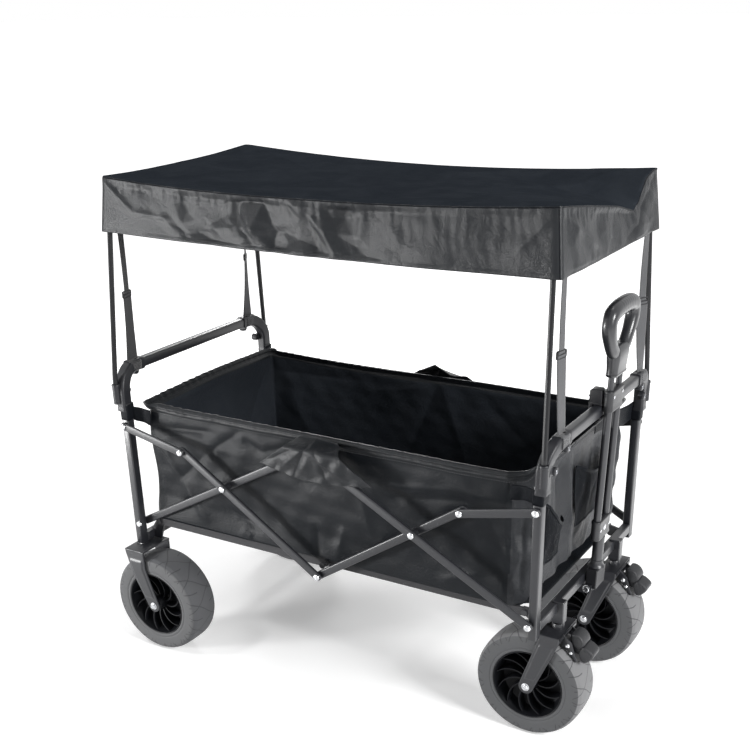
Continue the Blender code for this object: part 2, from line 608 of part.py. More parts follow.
def make_caster(side_name, frame):
    """One swivelling front fork with its wheel and brake pedal."""
    side = SIDES[side_name]
    y = side * CASTER_Y
    swivel = Joint("caster_axis_%s" % side_name, (CASTER_X, y, CASTER_PLATE_TOP), frame)
    axle_x = CASTER_X - CASTER_TRAIL
    leg = ([(CASTER_PLATE_BACK, CASTER_PLATE_TOP),
            (CASTER_PLATE_BACK + LEG_SETBACK, CASTER_PLATE_TOP - LEG_SHOULDER)]
           + arc((axle_x, WHEEL_RADIUS), FORK_LEG_ROUND, 165, 345, 5)
           + [(CASTER_PLATE_FRONT, CASTER_PLATE_TOP - CASTER_FLANGE_DROP),
              (CASTER_PLATE_FRONT, CASTER_PLATE_TOP)])
    fork = make_fork("caster_fork_%s" % side_name, swivel, y, CASTER_PLATE_BACK,
                     CASTER_PLATE_FRONT, CASTER_PLATE_TOP, leg, axle_x)
    boss_middle = CASTER_PLATE_TOP + CASTER_BOSS_HEIGHT / 2
    combine(fork, rod(CASTER_BOSS_RADIUS, CASTER_BOSS_HEIGHT, "Z", 16), swivel,
            (CASTER_X, y, boss_middle))
    combine(fork, rod(PIN_RADIUS + PIN_PLAY, 4 * CASTER_BOSS_HEIGHT, "Z"), swivel,
            (CASTER_X, y, boss_middle), "DIFFERENCE")
    combine(fork, block((FORK_SHEET, FORK_GAP + FORK_SHEET, CASTER_FLANGE_DROP)), swivel,
            (CASTER_PLATE_FRONT - FORK_SHEET / 2 + GAP / 2, y,
             CASTER_PLATE_TOP - CASTER_FLANGE_DROP / 2 - GAP / 2))
    ear = [(CASTER_PLATE_FRONT - GAP, CASTER_PLATE_TOP - GAP),
           (PEDAL_X + PEDAL_HUB_RADIUS, PEDAL_Z + PEDAL_HUB_RADIUS),
           (PEDAL_X + 3 * PEDAL_HUB_RADIUS, PEDAL_Z - PEDAL_TONGUE_DROP),
           (PEDAL_X + 2 * PEDAL_HUB_RADIUS + LEG_SETBACK,
            PEDAL_Z - PEDAL_TONGUE_DROP + PEDAL_TONGUE_TIP),
           (PEDAL_X, PEDAL_Z - PEDAL_EAR_LOW),
           (CASTER_PLATE_FRONT - GAP, PEDAL_Z - PEDAL_EAR_DROP)]
    inner = PEDAL_WIDTH / 2 + LAYER_GAP
    outline = [(x - PEDAL_X, z - PEDAL_Z) for x, z in ear]
    for hand in (-1, 1):
        combine(fork, plate(outline, PEDAL_EAR_THICK), swivel,
                (PEDAL_X, y + hand * (inner + PEDAL_EAR_THICK / 2), PEDAL_Z))
    combine(fork, rod(PIN_RADIUS / 2, 2 * inner + PEDAL_EAR_THICK), swivel, (PEDAL_X, y, PEDAL_Z))
    make_axle_bolt("caster_axle_bolt_%s" % side_name, swivel, axle_x, y)
    spin = Joint("front_wheel_axis_%s" % side_name, (axle_x, y, WHEEL_RADIUS), swivel)
    make_wheel("front_%s" % side_name, spin, axle_x, y)
    make_brake_pedal(side_name, swivel, y)


def make_brake_pedal(side_name, swivel, y):
    """The two-lobed foot pedal that rocks on the caster's flange."""
    hinge = Joint("brake_axis_%s" % side_name, (PEDAL_X, y, PEDAL_Z), swivel)
    pedal = add_piece("brake_pedal_%s" % side_name, rod(PEDAL_HUB_RADIUS, PEDAL_WIDTH),
                      "black plastic", hinge, (PEDAL_X, y, PEDAL_Z), smooth=False)
    for x, z, radius in (PEDAL_UPPER_LOBE, PEDAL_LOWER_LOBE):
        combine(pedal, rod(radius, PEDAL_WIDTH, "Y", 16), hinge, (x, y, z))
    upper, lower = PEDAL_UPPER_LOBE, PEDAL_LOWER_LOBE
    web = bar_outline((upper[0], upper[1]), (lower[0], lower[1]), 2 * PEDAL_HUB_RADIUS)
    combine(pedal, plate([(x - PEDAL_X, z - PEDAL_Z) for x, z in web], PEDAL_WIDTH - 4 * GAP),
            hinge, (PEDAL_X, y, PEDAL_Z))
    hub_hole = rod(PIN_RADIUS / 2 + PIN_PLAY, 2 * PEDAL_WIDTH)
    combine(pedal, hub_hole, hinge, (PEDAL_X, y, PEDAL_Z), "DIFFERENCE")


def make_long_bars(fold, middle):
    """The long bars: from a rear post up to the middle, and on down to the front post."""
    top = (0.0, TOP_Z)
    for side_name, side in SIDES.items():
        rear = flat_bar("long_bar_rear_%s" % side_name, "powder coat", fold, side,
                        (-PIVOT_X, PIVOT_Z), top, INNER_BAR)
        cut_hole(rear, fold, side, (-PIVOT_X, PIVOT_Z), *INNER_BAR)
        add_pin(rear, fold, side, top, INNER_BAR[1] - GAP, OUTER_BAR[0] - LAYER_GAP, BOSS_RADIUS)
        head = OUTER_BAR[1] + LAYER_GAP
        add_pin(rear, fold, side, top, INNER_BAR[1], head + GAP)
        add_pin(rear, fold, side, top, head, head + HEAD_THICK, HEAD_RADIUS)
        cross = (-CROSS_X, crossing_height())
        add_pin(rear, fold, side, cross, INNER_BAR[1] - GAP, REAR_HANGER[0] - LAYER_GAP,
                BOSS_RADIUS)
        head = REAR_HANGER[1] + LAYER_GAP
        add_pin(rear, fold, side, cross, INNER_BAR[1], head + GAP)
        add_pin(rear, fold, side, cross, head, head + HEAD_THICK, HEAD_RADIUS)

        front = flat_bar("long_bar_front_%s" % side_name, "powder coat", middle, side,
                         top, (PIVOT_X, PIVOT_Z), OUTER_BAR)
        cut_hole(front, middle, side, top, *OUTER_BAR)
        cut_hole(front, middle, side, (PIVOT_X, PIVOT_Z), *OUTER_BAR)
        cross = (CROSS_X, crossing_height())
        add_pin(front, middle, side, cross, FRONT_HANGER[1] + LAYER_GAP, OUTER_BAR[0] + GAP,
                BOSS_RADIUS)
        head = FRONT_HANGER[0] - LAYER_GAP
        add_pin(front, middle, side, cross, head - GAP, OUTER_BAR[0] + GAP)
        add_pin(front, middle, side, cross, head - HEAD_THICK, head, HEAD_RADIUS)
        add_pin(front, middle, side, cross, OUTER_BAR[1] - GAP, OUTER_BAR[1] + HEAD_THICK,
                HEAD_RADIUS)


def crossing_height():
    """Height at which a long bar and a hanger bar cross."""
    return PIVOT_Z + (TOP_Z - PIVOT_Z) * (PIVOT_X - CROSS_X) / PIVOT_X


def hanger_end():
    """Where a hanger bar meets its link, as distance from the middle and height."""
    rise = crossing_height() - LOW_Z
    length = math.hypot(CROSS_X, rise)
    share = HANGER_TAIL_LENGTH / length
    return (CROSS_X * (1 + share), crossing_height() + rise * share)


def make_hangers(rear_cross, front_cross):
    """The hanger bars: from the links down to the low middle."""
    low = (0.0, LOW_Z)
    end = hanger_end()
    for side_name, side in SIDES.items():
        rear = flat_bar("hanger_rear_%s" % side_name, "powder coat", rear_cross, side,
                        (-end[0], end[1]), low, REAR_HANGER)
        cut_hole(rear, rear_cross, side, (-CROSS_X, crossing_height()), *REAR_HANGER)
        add_pin(rear, rear_cross, side, low, REAR_HANGER[1] - GAP, REAR_HANGER[1] + HEAD_THICK,
                HEAD_RADIUS)
        front = flat_bar("hanger_front_%s" % side_name, "powder coat", front_cross, side,
                         (end[0], end[1]), low, FRONT_HANGER)
        cut_hole(front, front_cross, side, (CROSS_X, crossing_height()), *FRONT_HANGER)
        add_pin(front, front_cross, side, end, FRONT_HANGER[1] - GAP, LINK[0] - LAYER_GAP,
                BOSS_RADIUS)
        add_pin(front, front_cross, side, low, FRONT_HANGER[0] - HEAD_THICK,
                FRONT_HANGER[0] + GAP, HEAD_RADIUS)


def make_links(joints):
    """The short links that hang the hanger bars from the posts."""
    end = hanger_end()
    for end_name, x_sign in ENDS.items():
        joint = joints[end_name]
        bolt = (x_sign * POST_X, LINK_BOLT_Z)
        tip = (x_sign * end[0], end[1])
        for side_name, side in SIDES.items():
            link = flat_bar("link_%s_%s" % (end_name, side_name), "powder coat", joint, side,
                            bolt, tip, LINK)
            cut_hole(link, joint, side, bolt, *LINK)
            add_pin(link, joint, side, tip, LINK[1] - GAP, LINK[1] + HEAD_THICK, HEAD_RADIUS)


def make_base(end, rail, joint):
    """One half of the folding base: two rails and the board across them."""
    x_sign = ENDS[end]
    pivot = (x_sign * BASE_PIVOT_X, PIVOT_Z)
    board_from = BASE_PIVOT_X - BASE_BOARD_INSET
    length = board_from - BASE_BOARD_CUTBACK
    board_z = PIVOT_Z + BASE_RAIL_HEIGHT / 2 - BASE_BOARD_THICK / 2 - GAP
    mesh = block((length, 2 * (rail[0] + GAP), BASE_BOARD_THICK))
    base = add_piece("base_%s" % end, mesh, "board", joint,
                     (x_sign * (BASE_BOARD_CUTBACK + length / 2), 0.0, board_z), smooth=False)
    for side in SIDES.values():
        outline = bar_outline((0.0, 0.0), (-x_sign * BASE_PIVOT_X, 0.0), BASE_RAIL_HEIGHT)
        mesh, y = span(lambda thick: plate(outline, thick), side, *rail)
        combine(base, mesh, joint, (pivot[0], y, PIVOT_Z))
        cut_hole(base, joint, side, pivot, *rail)
        if end == "rear":
            head = BASKET_Y + BOSS_RADIUS
            add_pin(base, joint, side, (0.0, PIVOT_Z), rail[1] - GAP, head + GAP)
            add_pin(base, joint, side, (0.0, PIVOT_Z), head, head + HEAD_THICK, HEAD_RADIUS - GAP)


def cloth_shell(name, look, joint, shape, inward=True):
    """An open sheet given its thickness."""
    mesh = finished(shape)
    piece = add_piece(name, mesh, look, joint, (0.0, 0.0, 0.0), smooth=False)
    solid = piece.modifiers.new("Thickness", "SOLIDIFY")
    solid.thickness = CLOTH
    solid.offset = -1.0 if inward else 1.0
    solid.use_even_offset = True
    return piece


def ring_of(shape, edges, corner_of):
    """Pull the next ring of a sheet out of its open edge and set its corners."""
    made = bmesh.ops.extrude_edge_only(shape, edges=edges)["geom"]
    for vertex in (item for item in made if isinstance(item, bmesh.types.BMVert)):
        vertex.co = corner_of(math.copysign(1, vertex.co.x), math.copysign(1, vertex.co.y))
    return [item for item in made if isinstance(item, bmesh.types.BMEdge)]


def make_basket(joint):
    """The cloth basket: floor, walls, rolled-out rim, side skirts, pockets and hanging flaps."""
    floor_z = PIVOT_Z + BASE_RAIL_HEIGHT / 2 + GAP
    shape = bmesh.new()
    bmesh.ops.create_grid(shape, x_segments=1, y_segments=1, size=1.0)
    for vertex in shape.verts:
        vertex.co = (math.copysign(BASKET_FLOOR_HALF, vertex.co.x),
                     math.copysign(BASKET_FLOOR_Y, vertex.co.y), floor_z)
    edges = list(shape.edges)
    rings = [(BASKET_REAR_X, BASKET_FRONT_X, BASKET_Y, BASKET_FRONT_FOOT_Z),
             (BASKET_REAR_X, BASKET_FRONT_X, BASKET_Y, BASKET_SHOULDER_Z),
             (BASKET_REAR_X, BASKET_FRONT_X, BASKET_RIM_Y, BASKET_SHOULDER_Z + 2 * CLOTH),
             (BASKET_REAR_X, BASKET_FRONT_X, BASKET_RIM_Y, BASKET_RIM_Z)]
    for number, (rear_x, front_x, half_y, height) in enumerate(rings):
        rise = BASKET_FRONT_RISE if number == len(rings) - 1 else 0.0
        edges = ring_of(shape, edges, lambda i, j: Vector(
            (front_x if i > 0 else -rear_x, j * half_y, height + (rise if i > 0 else 0.0))))
    basket = cloth_shell("basket", "cloth", joint, shape)
    skirt_end = BASE_PIVOT_X - 2 * BOSS_RADIUS
    skirt_top = floor_z + 4 * CLOTH
    for side in SIDES.values():
        combine(basket, block((2 * skirt_end, CLOTH - 2 * GAP, skirt_top - SKIRT_BOTTOM)), joint,
                (0.0, side * (BASKET_Y - CLOTH / 2), (skirt_top + SKIRT_BOTTOM) / 2))
        flap_y = OUTER_BAR[1] + HEAD_THICK + 2 * LAYER_GAP + CLOTH
        drop = BASKET_RIM_Z - FLAP_LOW_Z
        flap = [(-FLAP_HALF, BASKET_RIM_Z), (-FLAP_REAR_X, BASKET_RIM_Z - FLAP_REAR_SHARE * drop),
                (-FLAP_HALF / 2, FLAP_LOW_Z), (FLAP_HALF, FLAP_LOW_Z),
                (FLAP_FRONT_X, BASKET_RIM_Z - FLAP_FRONT_SHARE * drop), (FLAP_HALF, BASKET_RIM_Z)]
        combine(basket, plate([(x, z) for x, z in flap], CLOTH), joint,
                (0.0, side * (flap_y + CLOTH / 2), 0.0))
        bridge = (BASKET_RIM_Y - CLOTH / 2, flap_y + CLOTH / 2)
        combine(basket, block((2 * FLAP_HALF - CLOTH, bridge[1] - bridge[0], CLOTH)), joint,
                (0.0, side * (bridge[0] + bridge[1]) / 2, BASKET_RIM_Z - CLOTH))
        cut_hole(basket, joint, side, (0.0, PIVOT_Z), BASKET_Y - CLOTH, BASKET_Y,
                 PIN_RADIUS + 2 * PIN_PLAY)
    for pocket, (left, right) in POCKET_SPANS.items():
        height = POCKET_TOPS[pocket] - POCKET_FLOOR_Z
        place = (BASKET_FRONT_X + (POCKET_DEPTH - CLOTH) / 2, (left + right) / 2,
                 POCKET_FLOOR_Z + height / 2)
        combine(basket, block((POCKET_DEPTH, right - left, height)), joint, place)
        hollow = (POCKET_DEPTH - 2 * CLOTH, right - left - 2 * CLOTH, height)
        combine(basket, block(hollow), joint,
                (place[0], place[1], place[2] + CLOTH), "DIFFERENCE")


def make_canopy(joint):
    """The canopy cloth: a sagging top, its hanging hem and the four straps to the rails."""
    shape = bmesh.new()
    bmesh.ops.create_grid(shape, x_segments=1, y_segments=1, size=1.0)
    for vertex in shape.verts:
        vertex.co = (math.copysign(CANOPY_TOP_X, vertex.co.x),
                     math.copysign(CANOPY_TOP_Y, vertex.co.y), CANOPY_TOP_Z)
    ring_of(shape, list(shape.edges),
            lambda i, j: Vector((i * CANOPY_HEM_X, j * CANOPY_HEM_Y, CANOPY_HEM_Z)))
    canopy = cloth_shell("canopy", "cloth", joint, shape)
    rail_top = RAIL_Z + max(RAIL_HEIGHT, ELBOW_WIDTH) / 2 + 2 * GAP
    strap_top = CANOPY_HEM_Z + STRAP_WIDTH
    head_x = CANOPY_HEM_X - CLOTH
    foot_x = RAIL_X - CLOTH
    strap = [(head_x - 2 * CLOTH, strap_top), (head_x, strap_top - STRAP_WIDTH / 2),
             (head_x, CANOPY_HEM_Z), (foot_x + CLOTH, rail_top), (foot_x, rail_top),
             (head_x - 2 * CLOTH, CANOPY_HEM_Z)]
    for x_sign in ENDS.values():
        for side in SIDES.values():
            combine(canopy, plate([(x_sign * x, z) for x, z in strap], STRAP_WIDTH), joint,
                    (0.0, side * STRAP_Y, 0.0))


def make_poles(end, joint):
    """The two canopy poles of one end, standing in the sockets of their elbows."""
    x_sign = ENDS[end]
    foot_z = POST_TOP + 2 * POLE_SOCKET_WALL + 2 * GAP
    lean_z = POST_TOP + POLE_SOCKET_HEIGHT + 2 * POLE_RADIUS
    for side_name, side in SIDES.items():
        foot = Vector((x_sign * POLE_SOCKET_X, side * POLE_SOCKET_Y, foot_z))
        lean = Vector((x_sign * POLE_SOCKET_X, side * POLE_SOCKET_Y, lean_z))
        top = Vector((x_sign * POLE_TOP_X, side * POLE_TOP_Y, POLE_TOP_Z))
        mesh = tube([point - foot for point in (foot, lean, top)], POLE_RADIUS)
        add_piece("canopy_pole_%s_%s" % (end, side_name), mesh, "powder coat", joint, foot)


def make_handle_bracket(joint):
    """The ears and pin on the cross tube that carry the handle's foot."""
    inner = FOOT_WIDTH / 2 + LAYER_GAP
    top = FRONT_TUBE_BOTTOM - GAP
    plate_back = POST_X - POST_DEPTH / 2
    plate_front = HANDLE_PIVOT_X - FOOT_RADIUS - 2 * LAYER_GAP
    plate_x = (plate_back + plate_front) / 2
    mesh = block((plate_front - plate_back, 2 * (inner + BRACKET_EAR), BRACKET_EAR))
    bracket = add_piece("handle_bracket", mesh, "powder coat", joint,
                        (plate_x, 0.0, top - BRACKET_EAR / 2), smooth=False)
    reach = HANDLE_PIVOT_X + FOOT_RADIUS + GAP
    ear = [(plate_back, top), (plate_back, top - BRACKET_EAR),
           (plate_x, HANDLE_PIVOT_Z - FOOT_RADIUS), (reach - FOOT_RADIUS / 2,
                                                     HANDLE_PIVOT_Z - FOOT_RADIUS),
           (reach, HANDLE_PIVOT_Z), (reach, top)]
    for side in SIDES.values():
        combine(bracket, plate(ear, BRACKET_EAR), joint,
                (0.0, side * (inner + BRACKET_EAR / 2), 0.0))
        combine(bracket, rod(HEAD_RADIUS, HEAD_THICK), joint,
                (HANDLE_PIVOT_X, side * (inner + BRACKET_EAR + HEAD_THICK / 2 - GAP),
                 HANDLE_PIVOT_Z))
    combine(bracket, rod(PIN_RADIUS, 2 * inner + BRACKET_EAR), joint,
            (HANDLE_PIVOT_X, 0.0, HANDLE_PIVOT_Z))


def make_rail_clip(joint):
    """The clip on the front rail that the handle leans against."""
    jaw_front = RAIL_X + RAIL_DEPTH / 2
    low = RAIL_Z - RAIL_HEIGHT / 2 - CLIP_WALL
    mesh = block((jaw_front - CLIP_BACK, CLIP_WIDTH, CLIP_TOP - low))
    middle = ((jaw_front + CLIP_BACK) / 2, 0.0, (CLIP_TOP + low) / 2)
    clip = add_piece("rail_clip", mesh, "black plastic", joint, middle, smooth=False)
    cavity = block((RAIL_DEPTH + 2 * GAP + CLIP_WALL, 2 * CLIP_WIDTH, RAIL_HEIGHT + 2 * GAP))
    combine(clip, cavity, joint, (RAIL_X + CLIP_WALL / 2, 0.0, RAIL_Z), "DIFFERENCE")


def place_along(handle, piece, offset):
    """Set a piece on the handle, by its distances along the handle's own leaning axes."""
    piece.parent = handle.empty
    piece.matrix_local = Matrix.Translation(Vector(offset))


def handle_tool(piece, handle, mesh, offset, operation="UNION"):
    """Join or cut a mesh placed in the handle's own leaning axes."""
    combine(piece, mesh, handle, handle.at, operation)
    tool = piece.modifiers[-1].object
    place_along(handle, tool, offset)


def make_handle(frame):
    """The pull handle: foot, tubes and clamps, and the sliding part with the grip."""
    pivot = Joint("handle_axis", (HANDLE_PIVOT_X, 0.0, HANDLE_PIVOT_Z), frame)
    start = (HANDLE_FOOT_X, 0.0, HANDLE_FOOT_Z)
    handle = Joint("handle_line", start, pivot, lean=HANDLE_LEAN)

    foot = add_piece("handle_foot", rod(FOOT_RADIUS, FOOT_WIDTH, "Y", 16), "black plastic", pivot,
                     (HANDLE_PIVOT_X, 0.0, HANDLE_PIVOT_Z), smooth=False)
    foot_low = HANDLE_PIVOT_Z - HANDLE_FOOT_Z
    handle_tool(foot, handle, block((FOOT_DEPTH, FOOT_WIDTH, FOOT_TOP - foot_low), EDGE_ROUND),
                (0.0, 0.0, (FOOT_TOP + foot_low) / 2))
    combine(foot, rod(PIN_RADIUS + PIN_PLAY, 2 * FOOT_WIDTH), pivot,
            (HANDLE_PIVOT_X, 0.0, HANDLE_PIVOT_Z), "DIFFERENCE")

    tube_low, tube_high = FOOT_TOP + GAP, LOWER_CLAMP_BOTTOM - GAP
    lower = add_piece("handle_lower_tube", rod(LOWER_TUBE_RADIUS, tube_high - tube_low, "Z", 16),
                      "powder coat", handle, start)
    place_along(handle, lower, (0.0, 0.0, (tube_low + tube_high) / 2))

    clamp_height = LOWER_CLAMP_TOP - LOWER_CLAMP_BOTTOM
    clamp_size = (CLAMP_DEPTH, CLAMP_WIDTH, clamp_height)
    lower_clamp = add_piece("handle_lower_clamp", block(clamp_size, 2 * EDGE_ROUND),
                            "black plastic", handle, start, smooth=False)
    place_along(handle, lower_clamp, (0.0, 0.0, LOWER_CLAMP_BOTTOM + clamp_height / 2))
    handle_tool(lower_clamp, handle, rod(HEAD_RADIUS, CLAMP_DEPTH / 2 + HEAD_THICK, "X"),
                (CLAMP_DEPTH / 4 + HEAD_THICK / 2, 0.0, LOWER_CLAMP_BOTTOM + clamp_height / 2))

    twin_low, twin_high = LOWER_CLAMP_TOP + GAP, UPPER_CLAMP_BOTTOM - GAP
    for side_name, side in SIDES.items():
        outer = add_piece("handle_tube_%s" % side_name,
                          rod(TWIN_RADIUS, twin_high - twin_low, "Z", 16), "powder coat",
                          handle, start)
        place_along(handle, outer, (0.0, side * TWIN_Y, (twin_low + twin_high) / 2))
        handle_tool(outer, handle, rod(TWIN_RADIUS - TWIN_WALL, 2 * (twin_high - twin_low), "Z", 16),
                    (0.0, side * TWIN_Y, twin_high), "DIFFERENCE")

    upper_height = UPPER_CLAMP_TOP - UPPER_CLAMP_BOTTOM
    upper_clamp = add_piece("handle_upper_clamp",
                            block((CLAMP_DEPTH, CLAMP_WIDTH, upper_height), 2 * EDGE_ROUND),
                            "black plastic", handle, start, smooth=False)
    place_along(handle, upper_clamp, (0.0, 0.0, UPPER_CLAMP_BOTTOM + upper_height / 2))
    for side in SIDES.values():
        handle_tool(upper_clamp, handle, rod(SLIDE_RADIUS + PIN_PLAY, 2 * upper_height, "Z", 16),
                    (0.0, side * TWIN_Y, UPPER_CLAMP_BOTTOM + upper_height / 2), "DIFFERENCE")
    make_grip(handle, start)


def make_grip(handle, start):
    """The sliding part: two rods, their collar and the closed loop to pull on."""
    collar_height = COLLAR_TOP - COLLAR_BOTTOM
    collar = add_piece("handle_collar",
                       block((COLLAR_DEPTH, COLLAR_WIDTH, collar_height), 2 * EDGE_ROUND),
                       "grip plastic", handle, start, smooth=False)
    place_along(handle, collar, (0.0, 0.0, COLLAR_BOTTOM + collar_height / 2))
    slide_length = COLLAR_BOTTOM + collar_height / 2 - SLIDE_FOOT
    for side in SIDES.values():
        handle_tool(collar, handle, rod(SLIDE_RADIUS, slide_length, "Z", 16),
                    (0.0, side * TWIN_Y, SLIDE_FOOT + slide_length / 2))
    corner = GRIP_CORNER_SHARE * (GRIP_TOP - GRIP_BOTTOM)
    throat = GRIP_HALF / 4
    right = ([(throat, GRIP_BOTTOM),
              (GRIP_HALF - GRIP_SHOULDER_IN, GRIP_BOTTOM + GRIP_SHOULDER_UP)]
             + arc((GRIP_HALF - corner, GRIP_TOP - corner), corner, 0, 90, 5))
    loop = [(0.0, y, z) for y, z in right] + [(0.0, -y, z) for y, z in reversed(right)]
    grip_foot = COLLAR_TOP + GAP
    grip = add_piece("handle_grip", tube(loop, GRIP_TUBE, closed=True, sides=3), "grip plastic",
                     handle, start)
    place_along(handle, grip, (0.0, 0.0, 0.0))
    handle_tool(grip, handle, block((3 * GRIP_TUBE, 4 * GRIP_HALF, 4 * GRIP_TUBE)),
                (0.0, 0.0, grip_foot - 2 * GRIP_TUBE), "DIFFERENCE")


def build():
    """Model the whole cart."""
    clear_scene()
    root = Joint("cart_root", (0.0, 0.0, 0.0))
    fold = Joint("fold_axis", (-PIVOT_X, 0.0, PIVOT_Z), root)
    middle = Joint("top_middle_axis", (0.0, 0.0, TOP_Z), fold)
    front = Joint("front_frame_axis", (PIVOT_X, 0.0, PIVOT_Z), middle)
    rear_cross = Joint("rear_crossing_axis", (-CROSS_X, 0.0, crossing_height()), fold)
    front_cross = Joint("front_crossing_axis", (CROSS_X, 0.0, crossing_height()), middle)
    links = {"rear": Joint("rear_link_axis", (-POST_X, 0.0, LINK_BOLT_Z), root),
             "front": Joint("front_link_axis", (POST_X, 0.0, LINK_BOLT_Z), front)}
    frames = {"rear": root, "front": front}
    for end, frame in frames.items():
        for side_name in SIDES:
            make_post(end, side_name, frame)
            make_elbow(end, side_name, frame)
        make_push_rail(end, frame)
        make_poles(end, frame)
    make_rear_cross_tube(root)
    make_front_cross_frame(front)
    make_rear_wheels(root)
    for side_name in SIDES:
        make_caster(side_name, front)
    make_long_bars(fold, middle)
    make_hangers(rear_cross, front_cross)
    make_links(links)
    make_base("rear", REAR_RAIL, Joint("rear_base_axis", (-BASE_PIVOT_X, 0.0, PIVOT_Z), root))
    make_base("front", FRONT_RAIL, Joint("front_base_axis", (BASE_PIVOT_X, 0.0, PIVOT_Z), front))
    make_basket(root)
    make_canopy(root)
    make_handle_bracket(front)
    make_rail_clip(front)
    make_handle(front)
    root.empty.location.x = -MIDDLE_X


build()
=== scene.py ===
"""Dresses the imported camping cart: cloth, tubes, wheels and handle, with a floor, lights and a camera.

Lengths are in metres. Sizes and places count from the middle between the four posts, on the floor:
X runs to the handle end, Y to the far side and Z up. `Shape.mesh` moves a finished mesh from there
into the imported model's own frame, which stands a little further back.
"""
from __future__ import annotations

import logging
import math
from dataclasses import dataclass
from enum import Enum
from typing import Any, Iterable, Sequence

import bmesh
import bpy
import numpy as np
from mathutils import Matrix, Vector


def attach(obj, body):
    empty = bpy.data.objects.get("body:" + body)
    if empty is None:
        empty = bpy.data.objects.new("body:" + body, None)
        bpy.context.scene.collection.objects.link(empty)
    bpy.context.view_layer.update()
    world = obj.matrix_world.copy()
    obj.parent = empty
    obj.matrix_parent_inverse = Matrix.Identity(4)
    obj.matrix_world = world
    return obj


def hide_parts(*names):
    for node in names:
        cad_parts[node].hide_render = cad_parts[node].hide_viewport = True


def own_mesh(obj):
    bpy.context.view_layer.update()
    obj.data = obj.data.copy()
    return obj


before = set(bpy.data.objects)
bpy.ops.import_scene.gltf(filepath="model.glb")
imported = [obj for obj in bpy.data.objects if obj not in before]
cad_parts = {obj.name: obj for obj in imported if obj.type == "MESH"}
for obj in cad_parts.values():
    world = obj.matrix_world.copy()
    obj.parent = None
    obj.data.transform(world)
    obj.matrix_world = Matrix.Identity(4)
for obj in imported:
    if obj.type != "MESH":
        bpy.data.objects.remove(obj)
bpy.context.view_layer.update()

log = logging.getLogger("camping_cart")

MIDDLE_X = 0.01375
MERGE_GAP = 0.000004
CLOTH_SHARP = 80.0
TURN = 2.0 * math.pi
Grid = np.ndarray
Colour = tuple[float, float, float]
Point = tuple[float, float, float]
Fold = tuple[tuple[float, float], tuple[float, float], float, float]


class Slot(Enum):
    """The record's material slots."""

    FRAME = "powder_coat"
    PLASTIC = "black_plastic"
    GRIP = "grip_plastic"
    CHROME = "chrome_bolt"
    RUBBER = "tyre_rubber"
    HUB = "hub_plastic"
    CLOTH = "cloth"
    BOARD = "board"


class Side(Enum):
    """The two long sides of the cart, with the sign of their Y."""

    NEAR = -1
    FAR = 1

    @property
    def word(self) -> str:
        """The side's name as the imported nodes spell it."""
        return self.name.lower()


class End(Enum):
    """The two ends of the cart, with the sign of their X."""

    REAR = -1
    FRONT = 1

    @property
    def word(self) -> str:
        """The end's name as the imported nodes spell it."""
        return self.name.lower()

    @property
    def body(self) -> str:
        """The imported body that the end's posts belong to."""
        return self.word + "_frame"


# Shader graphs


class Wire:
    """A shader socket whose arithmetic adds Math nodes."""

    def __init__(self, graph: "Graph", socket: bpy.types.NodeSocket) -> None:
        """Wrap one output socket of a graph."""
        self.graph = graph
        self.socket = socket

    def __add__(self, other: Any) -> "Wire":
        """Sum."""
        return self.graph.maths("ADD", self, other)

    __radd__ = __add__

    def __sub__(self, other: Any) -> "Wire":
        """Difference."""
        return self.graph.maths("SUBTRACT", self, other)

    def __rsub__(self, other: Any) -> "Wire":
        """Difference from a plain number."""
        return self.graph.maths("SUBTRACT", other, self)

    def __mul__(self, other: Any) -> "Wire":
        """Product."""
        return self.graph.maths("MULTIPLY", self, other)

    __rmul__ = __mul__

    def __abs__(self) -> "Wire":
        """Absolute value."""
        return self.graph.maths("ABSOLUTE", self)

    def __mod__(self, other: Any) -> "Wire":
        """Remainder, always positive."""
        return self.graph.maths("FLOORED_MODULO", self, other)


